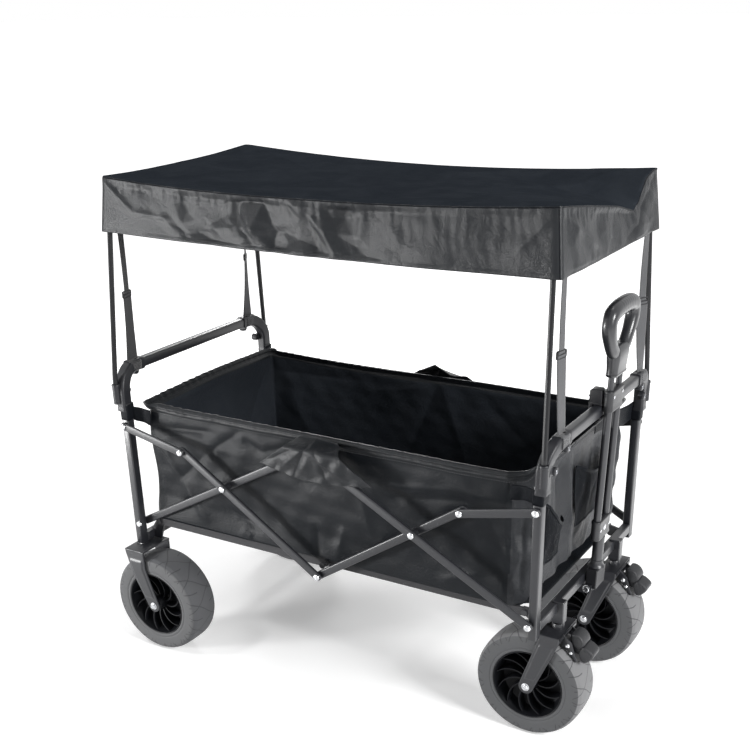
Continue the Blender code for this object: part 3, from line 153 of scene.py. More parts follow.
class Graph:
    """The node graph of one material."""

    def __init__(self, name: str) -> None:
        """Start an empty material.

        Args:
            name: The material's name.
        """
        self.material = bpy.data.materials.new(name)
        self.material.use_nodes = True
        self.tree = self.material.node_tree
        self.tree.nodes.clear()

    def add(self, kind: str, settings: dict | None = None, inputs: dict | None = None,
            output: int | str = 0) -> Wire:
        """Add any node.

        Args:
            kind: The node's type.
            settings: What is set before its sockets, such as an operation.
            inputs: Values or wires by socket name or number.
            output: Which output to return.

        Returns:
            The chosen output as a wire.
        """
        node = self.tree.nodes.new(kind)
        for key, value in (settings or {}).items():
            setattr(node, key, value)
        for key, value in (inputs or {}).items():
            if isinstance(value, Wire):
                self.tree.links.new(value.socket, node.inputs[key])
            else:
                node.inputs[key].default_value = value
        return Wire(self, node.outputs[output])

    def maths(self, operation: str, *values: Any) -> Wire:
        """Add a Math node for an operation on wires and numbers."""
        return self.add("ShaderNodeMath", {"operation": operation}, dict(enumerate(values)))

    def clamp(self, value: Wire) -> Wire:
        """Limit a wire to the range from 0 to 1."""
        return self.add("ShaderNodeClamp", None, {"Value": value})

    def step(self, value: Wire, low: float, high: float) -> Wire:
        """Rise smoothly from 0 at low to 1 at high."""
        return self.add("ShaderNodeMapRange", {"interpolation_type": "SMOOTHSTEP"},
                        {"Value": value, "From Min": low, "From Max": high})

    def mix(self, factor: Any, first: Any, second: Any) -> Wire:
        """Blend two colours."""
        first = first if isinstance(first, Wire) else (*first, 1.0)
        second = second if isinstance(second, Wire) else (*second, 1.0)
        return self.add("ShaderNodeMix", {"data_type": "RGBA", "blend_type": "MIX"},
                        {0: factor, 6: first, 7: second}, 2)

    def place(self) -> Wire:
        """Object coordinates."""
        return self.add("ShaderNodeTexCoord", output="Object")

    def cloth_place(self) -> Wire:
        """The piece's own UV map, which counts in metres over the cloth."""
        return self.add("ShaderNodeTexCoord", output="UV")

    def stretched(self, vector: Wire, scale: Sequence[float],
                  turn: Sequence[float] = (0.0, 0.0, 0.0)) -> Wire:
        """Scale and turn a vector."""
        return self.add("ShaderNodeMapping", {"vector_type": "POINT"},
                        {"Vector": vector, "Scale": tuple(scale), "Rotation": tuple(turn)})

    def part(self, vector: Wire, axis: str) -> Wire:
        """One coordinate of a vector."""
        return self.add("ShaderNodeSeparateXYZ", None, {"Vector": vector}, axis)

    def noise(self, vector: Wire, scale: float, detail: float = 3.0, rough: float = 0.5,
              bend: float = 0.0) -> Wire:
        """Smooth noise from 0 to 1."""
        return self.add("ShaderNodeTexNoise", {"noise_dimensions": "3D"},
                        {"Vector": vector, "Scale": scale, "Detail": detail, "Roughness": rough,
                         "Distortion": bend})

    def cells(self, vector: Wire, scale: float) -> Wire:
        """Distance to the nearest of scattered points."""
        return self.add("ShaderNodeTexVoronoi", {"feature": "F1"},
                        {"Vector": vector, "Scale": scale}, "Distance")

    def bump(self, height: Wire, depth: float, strength: float = 1.0,
             under: Wire | None = None) -> Wire:
        """A normal from a height, with depth in metres for a height of 1."""
        inputs = {"Height": height, "Distance": depth, "Strength": strength}
        if under is not None:
            inputs["Normal"] = under
        return self.add("ShaderNodeBump", None, inputs)

    def finish(self, **sockets: Any) -> bpy.types.Material:
        """End in a Principled shader.

        Args:
            sockets: Values or wires, named as the shader's sockets with _ for a space.

        Returns:
            The finished material.
        """
        named = {key.replace("_", " "): value for key, value in sockets.items()}
        shader = self.add("ShaderNodeBsdfPrincipled", None, named, "BSDF")
        out = self.tree.nodes.new("ShaderNodeOutputMaterial")
        self.tree.links.new(shader.socket, out.inputs["Surface"])
        return self.material


# Finishes

_made: dict[Any, bpy.types.Material] = {}


def shade(colour: Colour, share: float) -> Colour:
    """A colour made lighter or darker by a share."""
    red, green, blue = colour
    return share * red, share * green, share * blue


@dataclass(frozen=True)
class Finish:
    """A surface finish that makes its material once."""

    name: str

    def material(self) -> bpy.types.Material:
        """The finish's material, made on first use."""
        if self not in _made:
            _made[self] = self.build(Graph(self.name))
        return _made[self]

    def build(self, graph: Graph) -> bpy.types.Material:
        """Make the graph of the finish."""
        raise NotImplementedError


@dataclass(frozen=True)
class PowderCoat(Finish):
    """Satin dark grey powder coat: fine orange peel, slight scuffs and dust."""

    colour: Colour = (0.0160, 0.0168, 0.0200)
    roughness: float = 0.30
    gloss: float = 0.54

    def build(self, graph: Graph) -> bpy.types.Material:
        """Make the graph of the finish."""
        place = graph.place()
        peel = graph.noise(place, 1400.0, 2.0)
        cloud = graph.noise(place, 9.0, 4.0, 0.6)
        scuff = graph.step(graph.noise(graph.stretched(place, (1.0, 1.0, 0.25)), 160.0, 5.0, 0.7),
                           0.64, 0.74)
        base = graph.mix(cloud, shade(self.colour, 0.86), shade(self.colour, 1.22))
        base = graph.mix(scuff * 0.22, base, (0.16, 0.16, 0.17))
        rough = self.roughness + cloud * 0.10 + scuff * 0.12
        return graph.finish(Base_Color=base, Roughness=rough, Specular_IOR_Level=self.gloss,
                            Normal=graph.bump(peel, 0.00016, 0.35))


@dataclass(frozen=True)
class MouldedPlastic(Finish):
    """Moulded plastic with a fine spark-eroded grain."""

    colour: Colour = (0.016, 0.016, 0.018)
    roughness: float = 0.42
    grain: float = 0.00012
    coat: float = 0.0
    gloss: float = 0.42

    def build(self, graph: Graph) -> bpy.types.Material:
        """Make the graph of the finish."""
        place = graph.place()
        cells = graph.cells(place, 1500.0)
        cloud = graph.noise(place, 22.0, 5.0, 0.62)
        smear = graph.noise(place, 90.0, 3.0, 0.6, 0.5)
        base = graph.mix(cloud, shade(self.colour, 0.8), shade(self.colour, 1.3))
        rough = self.roughness - 0.06 + cloud * 0.10 + smear * 0.06
        return graph.finish(Base_Color=base, Roughness=rough, Coat_Weight=self.coat,
                            Coat_Roughness=0.12, Specular_IOR_Level=self.gloss,
                            Normal=graph.bump(cells, self.grain, 0.5))


@dataclass(frozen=True)
class Plated(Finish):
    """Bright zinc plate with faint turning marks and handling haze."""

    colour: Colour = (0.66, 0.67, 0.69)

    def build(self, graph: Graph) -> bpy.types.Material:
        """Make the graph of the finish."""
        place = graph.place()
        haze = graph.noise(place, 420.0, 4.0, 0.6)
        fine = graph.noise(graph.stretched(place, (1.0, 1.0, 6.0)), 1600.0, 2.0)
        base = graph.mix(haze, shade(self.colour, 0.82), self.colour)
        return graph.finish(Base_Color=base, Metallic=1.0, Roughness=0.16 + haze * 0.16,
                            Normal=graph.bump(fine, 0.00005, 0.4))


@dataclass(frozen=True)
class Tyre(Finish):
    """Foam rubber: a scuffed tread with thin slanting grooves, and a mid-grey sidewall.

    The tread and the sidewall take colours with painted light and shade: by default the tread is
    painted paler than the sidewall as light, and the grooves and the sidewall's notches are
    painted dark as shade.

    The piece's UV map holds the turn about the axle in repeats of the tread pattern, and the
    distance across the tread from its middle in centimetres. A groove is its slope, its bend,
    its place in the pattern, and where it starts and ends across the tread.
    """

    # Painted light and shade: tread and scuffed are the tread's colours, by default painted paler than
    # side and scuffed_side as light; deep paints the grooves and notches dark as shade.
    tread: Colour = (0.172, 0.173, 0.177)
    side: Colour = (0.068, 0.070, 0.074)
    scuffed: Colour = (0.200, 0.201, 0.206)
    scuffed_side: Colour = (0.094, 0.096, 0.100)
    dusty: Colour = (0.07, 0.07, 0.07)
    deep: Colour = (0.030, 0.030, 0.033)
    groove_half: float = 0.024
    notches: float = 20.0
    repeats: float = 11.0
    grooves: tuple[tuple[float, ...], ...] = (
        (0.12, 0.03, 0.00, -4.6, 4.6), (-0.12, 0.03, 0.50, -4.6, 4.6),
        (0.03, 0.02, 0.30, -4.6, -1.2), (-0.03, 0.02, 0.80, 1.2, 4.6))

    def build(self, graph: Graph) -> bpy.types.Material:
        """Make the graph of the finish."""
        place = graph.place()
        tread_place = graph.cloth_place()
        turn = graph.part(tread_place, "X")
        across = graph.part(tread_place, "Y")
        wobble = graph.noise(place, 60.0, 2.0)
        lines = []
        for lean, bend, phase, start, end in self.grooves:
            curve = graph.maths("SINE", across * 1.15 + phase * 6.0) * bend
            offset = (turn + across * lean + curve + phase + wobble * 0.008) % 1.0
            line = 1.0 - graph.step(abs(offset - 0.5), self.groove_half * 0.4, self.groove_half)
            inside = (graph.step(across, start - 0.1, start + 0.1)
                      * (1.0 - graph.step(across, end - 0.1, end + 0.1)))
            lines.append(line * inside)
        groove = lines[0]
        for line in lines[1:]:
            groove = graph.maths("MAXIMUM", groove, line)
        rubbed = graph.noise(place, 130.0, 5.0, 0.65)
        dust = graph.noise(place, 14.0, 4.0, 0.6)
        on_side = graph.step(abs(across), 3.55, 3.62)
        # Painted shade: dark notches near the sidewall's outer edge.
        notch_turn = (turn * (self.notches / self.repeats)) % 1.0
        notch = ((1.0 - graph.step(abs(notch_turn - 0.5), 0.020, 0.045))
                 * graph.step(abs(across), 3.66, 3.72) * (1.0 - graph.step(abs(across), 4.20, 4.30)))
        groove = graph.maths("MAXIMUM", groove, notch)
        # Painted light: the tread takes its own colour, set against the sidewall's for how light falls
        # on it.
        tone = graph.mix(on_side, self.tread, self.side)
        scuffed = graph.mix(on_side, self.scuffed, self.scuffed_side)
        tone = graph.mix(rubbed * 0.45, tone, scuffed)
        tone = graph.mix(dust * 0.25, tone, self.dusty)
        # Painted shade: grooves and notches darkened towards deep.
        tone = graph.mix(groove * 0.70, tone, self.deep)
        fine = graph.noise(place, 1100.0, 3.0, 0.7)
        height = fine * 0.25 + rubbed * 0.3 - groove * 2.4
        return graph.finish(Base_Color=tone, Roughness=0.62 + rubbed * 0.20,
                            Specular_IOR_Level=0.4, Normal=graph.bump(height, 0.0006, 0.55))


@dataclass(frozen=True)
class WovenCloth(Finish):
    """Coated polyester: a plain weave in the piece's UV metres, soft creases and a dull sheen."""

    colour: Colour = (0.0065, 0.0072, 0.0086)
    pale: Colour = (0.0130, 0.0138, 0.0155)
    pitch: float = 0.00075
    roughness: float = 0.40
    crease: float = 1.0
    streak: float = 0.0
    gloss: float = 0.34

    def build(self, graph: Graph) -> bpy.types.Material:
        """Make the graph of the finish."""
        place = graph.place()
        flat = graph.cloth_place()
        turns = TURN / self.pitch
        warp = graph.maths("SINE", graph.part(flat, "X") * turns)
        weft = graph.maths("SINE", graph.part(flat, "Y") * turns)
        weave = warp * weft
        wide = graph.noise(place, 11.0, 5.0, 0.62, 0.8)
        crumple = graph.noise(place, 46.0, 4.0, 0.55, 1.3)
        ridge = 1.0 - abs(crumple * 2.0 - 1.0)
        fibre = graph.noise(graph.stretched(flat, (60.0, 900.0, 1.0)), 1.0, 3.0, 0.6)
        base = graph.mix(graph.step(wide, 0.32, 0.72), self.colour, self.pale)
        base = graph.mix(fibre * 0.35, base, shade(self.colour, 1.9))
        base = graph.mix(graph.clamp(weave) * 0.30, base, shade(self.colour, 2.3))
        rough = self.roughness - 0.07 + wide * 0.14 + graph.clamp(weave) * 0.06
        soft = ridge * 0.6 + wide * 0.5
        if self.streak:
            lines = graph.noise(graph.stretched(place, (5.0, 90.0, 5.0)), 1.0, 4.0, 0.55, 0.4)
            soft = soft + lines * self.streak
        normal = graph.bump(soft, 0.0030 * self.crease, 0.5)
        normal = graph.bump(weave, 0.00010, 0.35, normal)
        return graph.finish(Base_Color=base, Roughness=rough, Specular_IOR_Level=self.gloss,
                            Normal=normal)


@dataclass(frozen=True)
class Webbing(Finish):
    """Ribbed strap webbing: cross ribs along the strap, with a woven edge."""

    colour: Colour = (0.20, 0.205, 0.22)
    dark: Colour = (0.085, 0.087, 0.094)
    rib: float = 0.0016
    cord: float = 0.0022

    def build(self, graph: Graph) -> bpy.types.Material:
        """Make the graph of the finish."""
        flat = graph.cloth_place()
        place = graph.place()
        along = graph.part(flat, "Y")
        across = graph.part(flat, "X")
        ribs = graph.maths("SINE", along * (TURN / self.rib))
        cords = graph.maths("SINE", across * (TURN / self.cord))
        cloud = graph.noise(place, 30.0, 4.0, 0.6)
        base = graph.mix(graph.clamp(ribs * 0.5 + 0.5), self.dark, self.colour)
        base = graph.mix(cloud * 0.4, base, self.dark)
        return graph.finish(Base_Color=base, Roughness=0.62 + cloud * 0.12, Sheen_Weight=0.25,
                            Normal=graph.bump(ribs * 0.6 + cords * 0.4, 0.0003, 0.6))


@dataclass(frozen=True)
class Netting(Finish):
    """Fine polyester netting with round holes that let the cloth behind show."""

    colour: Colour = (0.0065, 0.0072, 0.0086)
    pitch: float = 0.0034

    def build(self, graph: Graph) -> bpy.types.Material:
        """Make the graph of the finish."""
        flat = graph.cloth_place()
        turned = graph.stretched(flat, (1.0, 1.0, 1.0), (0.0, 0.0, math.pi / 4))
        turns = TURN / self.pitch
        rows = graph.maths("SINE", graph.part(turned, "X") * turns)
        columns = graph.maths("SINE", graph.part(turned, "Y") * turns)
        hole = graph.step(rows * columns, 0.25, 0.55)
        cloud = graph.noise(graph.place(), 24.0, 4.0, 0.6)
        base = graph.mix(cloud, self.colour, shade(self.colour, 2.0))
        return graph.finish(Base_Color=base, Roughness=0.55 + cloud * 0.2,
                            Alpha=1.0 - hole * 0.9, Specular_IOR_Level=0.06,
                            Normal=graph.bump(rows * columns, 0.0004, 0.6))


@dataclass(frozen=True)
class Board(Finish):
    """The stiff base board, covered in cloth with a coarse grain."""

    colour: Colour = (0.018, 0.018, 0.020)

    def build(self, graph: Graph) -> bpy.types.Material:
        """Make the graph of the finish."""
        place = graph.place()
        grain = graph.noise(graph.stretched(place, (1.0, 6.0, 1.0)), 240.0, 4.0, 0.65)
        cloud = graph.noise(place, 8.0, 3.0)
        base = graph.mix(cloud, self.colour, shade(self.colour, 1.7))
        return graph.finish(Base_Color=base, Roughness=0.70 + grain * 0.15,
                            Normal=graph.bump(grain, 0.0004, 0.5))


FRAME_COAT = PowderCoat("frame powder coat")
POLE_COAT = PowderCoat("pole enamel", (0.0065, 0.0068, 0.0082), 0.28, 0.30)
BLACK_PLASTIC = MouldedPlastic("black moulded plastic", (0.0070, 0.0073, 0.0088), gloss=0.30)
CLAMP_PLASTIC = MouldedPlastic("clamp plastic", (0.0135, 0.0140, 0.0160), 0.36)
ELBOW_PLASTIC = MouldedPlastic("elbow plastic", (0.0170, 0.0176, 0.0205), 0.36, gloss=0.32)
GRIP_PLASTIC = MouldedPlastic("grip plastic", (0.0165, 0.0170, 0.0195), 0.28, 0.00001, 0.15)
HUB_PLASTIC = MouldedPlastic("hub plastic", (0.0048, 0.0052, 0.0066), 0.44, 0.00003,
                             gloss=0.16)
PEDAL_PLASTIC = MouldedPlastic("pedal plastic", (0.0115, 0.0120, 0.0140), 0.50, 0.00020)
ZINC = Plated("zinc plate")
DARK_ZINC = Plated("dull zinc plate", (0.26, 0.265, 0.28))
# The front tyres' tread is painted paler than their sidewall as light. The rear tyres' tread is painted
# darker than their sidewall as shade, and their sidewall lighter than the front ones' as light.
RUBBER = Tyre("foam tyre")
SHADED_REAR_RUBBER = Tyre("rear foam tyre", (0.072, 0.074, 0.080), (0.090, 0.091, 0.094),
                   (0.105, 0.107, 0.112))
# The cloth finishes are copies of one fabric, each coloured for the light where it hangs. The basket's
# walls and floor take a copy painted darker, as shade.
SHADED_SIDE_CLOTH = WovenCloth("basket cloth", (0.0040, 0.0050, 0.0066), (0.0066, 0.0078, 0.0096),
                        roughness=0.36, crease=0.45, gloss=0.14)
RIM_CLOTH = WovenCloth("basket rim cloth", (0.0070, 0.0080, 0.0096), (0.0105, 0.0116, 0.0134),
                       roughness=0.36, crease=0.45, gloss=0.20)
# The inside of the walls takes a copy of the fabric painted lighter, as light.
LIT_LINING = WovenCloth("basket lining", (0.0200, 0.0232, 0.0285), (0.0270, 0.0305, 0.0360),
                    roughness=0.50, crease=0.8, gloss=0.06)
# The front panel and gussets take a copy of the fabric painted lighter, as the light from the handle end
# falls on them.
LIT_END_CLOTH = WovenCloth("front panel cloth", (0.0115, 0.0125, 0.0145), (0.0220, 0.0232, 0.0260),
                       crease=1.0, gloss=0.18)
HEM_CLOTH = WovenCloth("canopy hem cloth", (0.0058, 0.0068, 0.0084), (0.0105, 0.0115, 0.0132),
                       roughness=0.35, crease=0.6, gloss=0.25)
# The canopy top takes a copy of the fabric painted lighter than its hem, as light and sheen, with no
# gloss of its own.
LIT_TOP_CLOTH = WovenCloth("canopy cloth", (0.0150, 0.0178, 0.0222), (0.0225, 0.0260, 0.0312),
                       roughness=0.70, crease=0.5, streak=0.5, gloss=0.0)
TRIM_CLOTH = WovenCloth("trim cloth", (0.0055, 0.0062, 0.0078), (0.0085, 0.0095, 0.0115),
                        crease=0.4, gloss=0.04)
THREAD = MouldedPlastic("sewing thread", (0.075, 0.076, 0.080), 0.62, 0.00008)
STRAP = Webbing("strap webbing", (0.078, 0.079, 0.084), (0.034, 0.035, 0.038))
DARK_STRAP = Webbing("dark webbing", (0.030, 0.030, 0.033), (0.012, 0.012, 0.013))
NETTING = Netting("pocket netting")
BOARD = Board("base board")


# Surfaces


def smooth_step(low: float, high: float, value: Grid) -> Grid:
    """Rise from 0 at low to 1 at high as 3t^2 - 2t^3."""
    t = np.clip((value - low) / (high - low), 0.0, 1.0)
    return t * t * (3.0 - 2.0 * t)


def ease(points: Sequence[tuple[float, float]], value: Grid) -> Grid:
    """Interpolate through (place, height) pairs with a straight line between each two."""
    places, heights = zip(*points)
    return np.interp(value, places, heights)


def crease(across: Grid, along: Grid, start: tuple[float, float], end: tuple[float, float],
           width: float, height: float) -> Grid:
    """A fold along a segment of a cloth: height * exp(-|d|/width), fading out at both ends.

    Args:
        across: First cloth coordinate of each point.
        along: Second cloth coordinate of each point.
        start: Where the fold starts, in those coordinates.
        end: Where it ends.
        width: How fast it falls away to its sides.
        height: How far it stands out, negative for a valley.

    Returns:
        The fold's height at each point.
    """
    run = np.subtract(end, start)
    length = math.hypot(*run)
    t = ((across - start[0]) * run[0] + (along - start[1]) * run[1]) / length ** 2
    d = ((across - start[0]) * run[1] - (along - start[1]) * run[0]) / length
    fade = smooth_step(-0.15, 0.25, t) * (1.0 - smooth_step(0.75, 1.15, t))
    return height * fade * np.exp(-np.sqrt(d * d + (0.2 * width) ** 2) / width)


def creases(across: Grid, along: Grid, folds: Iterable[Fold]) -> Grid:
    """The sum of several folds, each its start, its end, its width and its height."""
    return sum(crease(across, along, *fold) for fold in folds)


def stacked(*axes: Grid) -> Grid:
    """Coordinates of matching shapes as one array of points."""
    return np.stack(np.broadcast_arrays(*axes), -1)


def run_along(path: Grid) -> Grid:
    """The distance run along a path up to each of its points."""
    return np.concatenate([[0.0], np.cumsum(np.linalg.norm(np.diff(path, axis=0), axis=1))])


def waves(x: Grid, y: Grid, size: float, seed: int, count: int = 7) -> Grid:
    """Smooth seeded noise from -1 to 1: a mean of sines in random directions."""
    dice = np.random.default_rng(seed)
    angle = dice.uniform(0.0, math.pi, count)
    pace = TURN / (size * dice.uniform(0.7, 1.5, count))
    phase = dice.uniform(0.0, TURN, count)
    sines = [np.sin((x * math.cos(a) + y * math.sin(a)) * p + f)
             for a, p, f in zip(angle, pace, phase)]
    return np.sum(sines, axis=0) / math.sqrt(count) * 0.8


def lattice(u: Grid, v: Grid, seed: int) -> Grid:
    """Seeded heights from -1 to 1 that are linear over each triangle of a unit lattice."""
    table = np.random.default_rng(seed).uniform(-1.0, 1.0, (128, 128))
    i, j = np.floor(u).astype(int), np.floor(v).astype(int)
    f, g = u - i, v - j
    i, j = i % 127, j % 127
    a, b, c, d = table[i, j], table[i + 1, j], table[i, j + 1], table[i + 1, j + 1]
    lower = a + f * (b - a) + g * (c - a)
    upper = d + (1.0 - f) * (c - d) + (1.0 - g) * (b - d)
    return np.where(f + g < 1.0, lower, upper)


def facets(x: Grid, y: Grid, cell: float, seed: int) -> Grid:
    """Crumpled cloth: straight-edged triangles that each lie in a plane of their own.

    A lattice of random heights is read at places that two coarser ones push aside, so its
    triangles differ in size and lean and their edges stay straight.

    Args:
        x: First cloth coordinate.
        y: Second cloth coordinate.
        cell: Width of a lattice cell.
        seed: Seed of the random heights.

    Returns:
        Heights from -1 to 1.
    """
    u, v = (x - 0.577 * y) / cell, 1.155 * y / cell
    bent_u = u + 0.62 * lattice(u * 0.57 + 3.3, v * 0.61, seed + 1)
    bent_v = v + 0.62 * lattice(u * 0.53, v * 0.59 + 7.1, seed + 2)
    return lattice(bent_u, bent_v, seed)


class Shape:
    """Vertices and faces gathered from surfaces, which become one mesh."""

    def __init__(self) -> None:
        """Start empty."""
        self.points: list[Grid] = []
        self.maps: list[Grid] = []
        self.faces: list[list[int]] = []
        self.looks: list[int] = []
        self.count = 0

    def grid(self, points: Grid, wrap_rows: bool = False, wrap_columns: bool = False,
             uv: Grid | None = None, flip: bool = False) -> "Shape":
        """Add the surface over a grid of points.

        Args:
            points: Array of rows, columns and 3.
            wrap_rows: Whether the last row joins the first.
            wrap_columns: Whether the last column joins the first.
            uv: Array of rows, columns and 2, if the finish reads it.
            flip: Whether to turn the faces round.

        Returns:
            This shape.
        """
        rows, columns = points.shape[:2]
        number = np.arange(rows * columns).reshape(rows, columns) + self.count
        if wrap_rows:
            number = np.vstack([number, number[:1]])
        if wrap_columns:
            number = np.hstack([number, number[:, :1]])
        quads = np.stack([number[:-1, :-1], number[:-1, 1:], number[1:, 1:], number[1:, :-1]], -1)
        quads = quads.reshape(-1, 4)
        self.faces += (quads[:, ::-1] if flip else quads).tolist()
        self.looks += [0] * len(quads)
        self._keep(points.reshape(-1, 3), None if uv is None else uv.reshape(-1, 2))
        return self

    def patch(self, ring: Grid) -> "Shape":
        """Add one flat face over a ring of points."""
        self.faces.append(list(range(self.count, self.count + len(ring))))
        self.looks.append(0)
        self._keep(np.asarray(ring, float), None)
        return self

    def _keep(self, points: Grid, uv: Grid | None) -> None:
        """Store points, with zeros where they have no place on the cloth."""
        self.points.append(points)
        self.maps.append(np.zeros((len(points), 2)) if uv is None else uv)
        self.count += len(points)

    def moved(self, matrix: Matrix) -> "Shape":
        """Move everything added so far by a matrix."""
        turn = np.array(matrix)
        self.points = [p @ turn[:3, :3].T + turn[:3, 3] for p in self.points]
        return self

    def join(self, other: "Shape") -> "Shape":
        """Take in another shape."""
        self.faces += [[i + self.count for i in face] for face in other.faces]
        self.looks += other.looks
        self.points += other.points
        self.maps += other.maps
        self.count += other.count
        return self

    def mesh(self, name: str, closed: bool, sharp: float) -> bpy.types.Mesh:
        """Make the mesh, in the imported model's frame.

        Args:
            name: The mesh's name.
            closed: Whether its surfaces close, so that doubles merge and faces turn outwards.
            sharp: Angle in degrees past which an edge stays sharp.

        Returns:
            The mesh.
        """
        made = bpy.data.meshes.new(name)
        points = np.concatenate(self.points) - (MIDDLE_X, 0.0, 0.0)
        made.from_pydata(points.tolist(), [], self.faces)
        flat = np.concatenate(self.maps)
        corner = np.zeros(len(made.loops), int)
        made.loops.foreach_get("vertex_index", corner)
        layer = made.uv_layers.new(name="UVMap")
        layer.data.foreach_set("uv", flat[corner].ravel())
        made.polygons.foreach_set("material_index", np.array(self.looks))
        if closed:
            merge_doubles(made, True)
        made.shade_smooth()
        made.set_sharp_from_angle(angle=math.radians(sharp))
        made.update()
        return made


def merge_doubles(mesh: bpy.types.Mesh, outwards: bool = False) -> None:
    """Merge a mesh's points that fall on each other, and turn its faces outwards if asked."""
    work = bmesh.new()
    work.from_mesh(mesh)
    bmesh.ops.remove_doubles(work, verts=work.verts, dist=MERGE_GAP)
    if outwards:
        bmesh.ops.recalc_face_normals(work, faces=work.faces)
    work.to_mesh(mesh)
    work.free()


def add_piece(name: str, shape: Shape, finish: Finish | Sequence[Finish], body: str,
              replaces: Sequence[str] = (), closed: bool = True, sharp: float = 40.0,
              thick: float = 0.0, folds: float = 0.0,
              lining: Sequence[Finish] = ()) -> bpy.types.Object:
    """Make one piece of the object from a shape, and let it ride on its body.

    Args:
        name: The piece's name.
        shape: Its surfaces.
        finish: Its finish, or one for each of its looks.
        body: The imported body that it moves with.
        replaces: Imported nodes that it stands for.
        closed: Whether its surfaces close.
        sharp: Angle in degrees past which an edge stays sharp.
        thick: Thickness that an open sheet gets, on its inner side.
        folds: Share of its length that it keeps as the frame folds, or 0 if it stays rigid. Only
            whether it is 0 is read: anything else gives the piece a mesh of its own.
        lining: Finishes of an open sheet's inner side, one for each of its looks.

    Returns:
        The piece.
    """
    finishes = [finish] if isinstance(finish, Finish) else list(finish)
    mesh = shape.mesh(name, closed, sharp)
    for each in finishes + list(lining):
        mesh.materials.append(each.material())
    piece = bpy.data.objects.new(name, mesh)
    bpy.context.scene.collection.objects.link(piece)
    if thick:
        wall = piece.modifiers.new("Thickness", "SOLIDIFY")
        wall.thickness = thick
        wall.offset = -1.0
        wall.use_even_offset = True
        wall.thickness_clamp = 1.0
        wall.material_offset = len(lining)
    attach(piece, body)
    if folds:
        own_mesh(piece)
    if replaces:
        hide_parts(*replaces)
    log.info("%s: %d vertices, rides on %s", name, len(mesh.vertices), body)
    return piece


def add_cloth(name: str, shape: Shape, finish: Finish | Sequence[Finish], body: str, thick: float,
              replaces: Sequence[str] = (), folds: float = 0.0, sharp: float = CLOTH_SHARP,
              lining: Sequence[Finish] = ()) -> bpy.types.Object:
    """Make one open sheet of cloth with a thickness, as add_piece does with its arguments."""
    return add_piece(name, shape, finish, body, replaces, False, sharp, thick, folds,
                     lining)


def lathe(profile: Sequence[tuple[float, float]], steps: int, cap: bool = True,
          axis: str = "Y", loop: bool = False) -> Shape:
    """A turned solid: each (radius, place along the axis) of the profile makes a ring.

    Args:
        profile: Radii and places, in order along the surface.
        steps: Points in each ring.
        cap: Whether the first and last rings are closed with flat faces.
        axis: The axis of the turning, X, Y or Z.
        loop: Whether the last ring joins the first, so that nothing is capped.

    Returns:
        The shape about the origin.
    """
    radius, along = np.array(profile, float).T
    turn = np.linspace(0.0, TURN, steps, endpoint=False)
    a, b = np.outer(radius, np.cos(turn)), np.outer(radius, np.sin(turn))
    c = along[:, None]
    points = stacked(*{"X": (c, a, b), "Y": (a, c, b), "Z": (a, b, c)}[axis])
    shape = Shape().grid(points, wrap_rows=loop, wrap_columns=True)
    if cap and not loop:
        shape.patch(points[0]).patch(points[-1])
    return shape


def dome(radius: float, height: float, steps: int = 16, dimple: float = 0.0) -> Shape:
    """A rivet head on the plane y = 0, rounded towards -Y, with a dimple in its middle."""
    profile = [(radius, 0.0), (radius, -0.25 * height)]
    for angle in (25.0, 50.0, 72.0):
        a = math.radians(angle)
        profile.append((radius * (0.25 + 0.75 * math.cos(a)), -height * (0.25 + 0.75 * math.sin(a))))
    if dimple:
        profile += [(0.26 * radius, -height), (0.18 * radius, -height + dimple)]
    return lathe(profile, steps)


def outline_normals(outline: Grid) -> Grid:
    """Outward unit normals of a closed outline that runs anticlockwise."""
    step = np.roll(outline, -1, 0) - outline
    edge = np.stack([step[:, 1], -step[:, 0]], -1)
    edge /= np.maximum(np.linalg.norm(edge, axis=1, keepdims=True), 1e-9)
    mean = edge + np.roll(edge, 1, 0)
    size = np.linalg.norm(mean, axis=1, keepdims=True)
    return mean / size * (2.0 / size)


def plate(outline: Sequence[tuple[float, float]], low: float, high: float, edge: float,
          steps: int = 3) -> Shape:
    """A plate across Y over an (x, z) outline, its edges rounded to a quarter circle.

    Args:
        outline: Closed outline.
        low: The lower level along Y.
        high: The upper level.
        edge: Radius of the rounded edges.
        steps: Segments of each rounding.

    Returns:
        The shape.
    """
    flat = np.array(outline, float)
    area = np.sum(flat[:, 0] * np.roll(flat[:, 1], -1) - np.roll(flat[:, 0], -1) * flat[:, 1])
    if area < 0:
        flat = flat[::-1]
    outward = outline_normals(flat)
    turns = np.linspace(0.0, math.pi / 2, steps + 1)
    inset = edge * (1.0 - np.sin(turns))
    rise = edge * (1.0 - np.cos(turns))
    rows = list(zip(inset, low + rise)) + list(zip(inset[::-1], high - rise[::-1]))
    rings = [np.insert(flat - i * outward, 1, y, axis=1) for i, y in rows]
    return Shape().grid(np.array(rings), wrap_columns=True).patch(rings[0]).patch(rings[-1])


def arc(middle: tuple[float, float], radius: float, start: float, end: float,
        steps: int) -> list[tuple[float, float]]:
    """Points of an arc about a middle, angles in degrees from the first axis to the second."""
    turn = np.radians(np.linspace(start, end, steps + 1))
    return list(zip(middle[0] + radius * np.cos(turn), middle[1] + radius * np.sin(turn)))


def round_box(half: tuple[float, float], radius: float, steps: int = 4) -> Grid:
    """A rectangle with rounded corners about the origin, anticlockwise."""
    a, b = half[0] - radius, half[1] - radius
    return np.array(arc((a, b), radius, 0, 90, steps) + arc((-a, b), radius, 90, 180, steps)
                    + arc((-a, -b), radius, 180, 270, steps) + arc((a, -b), radius, 270, 360, steps))


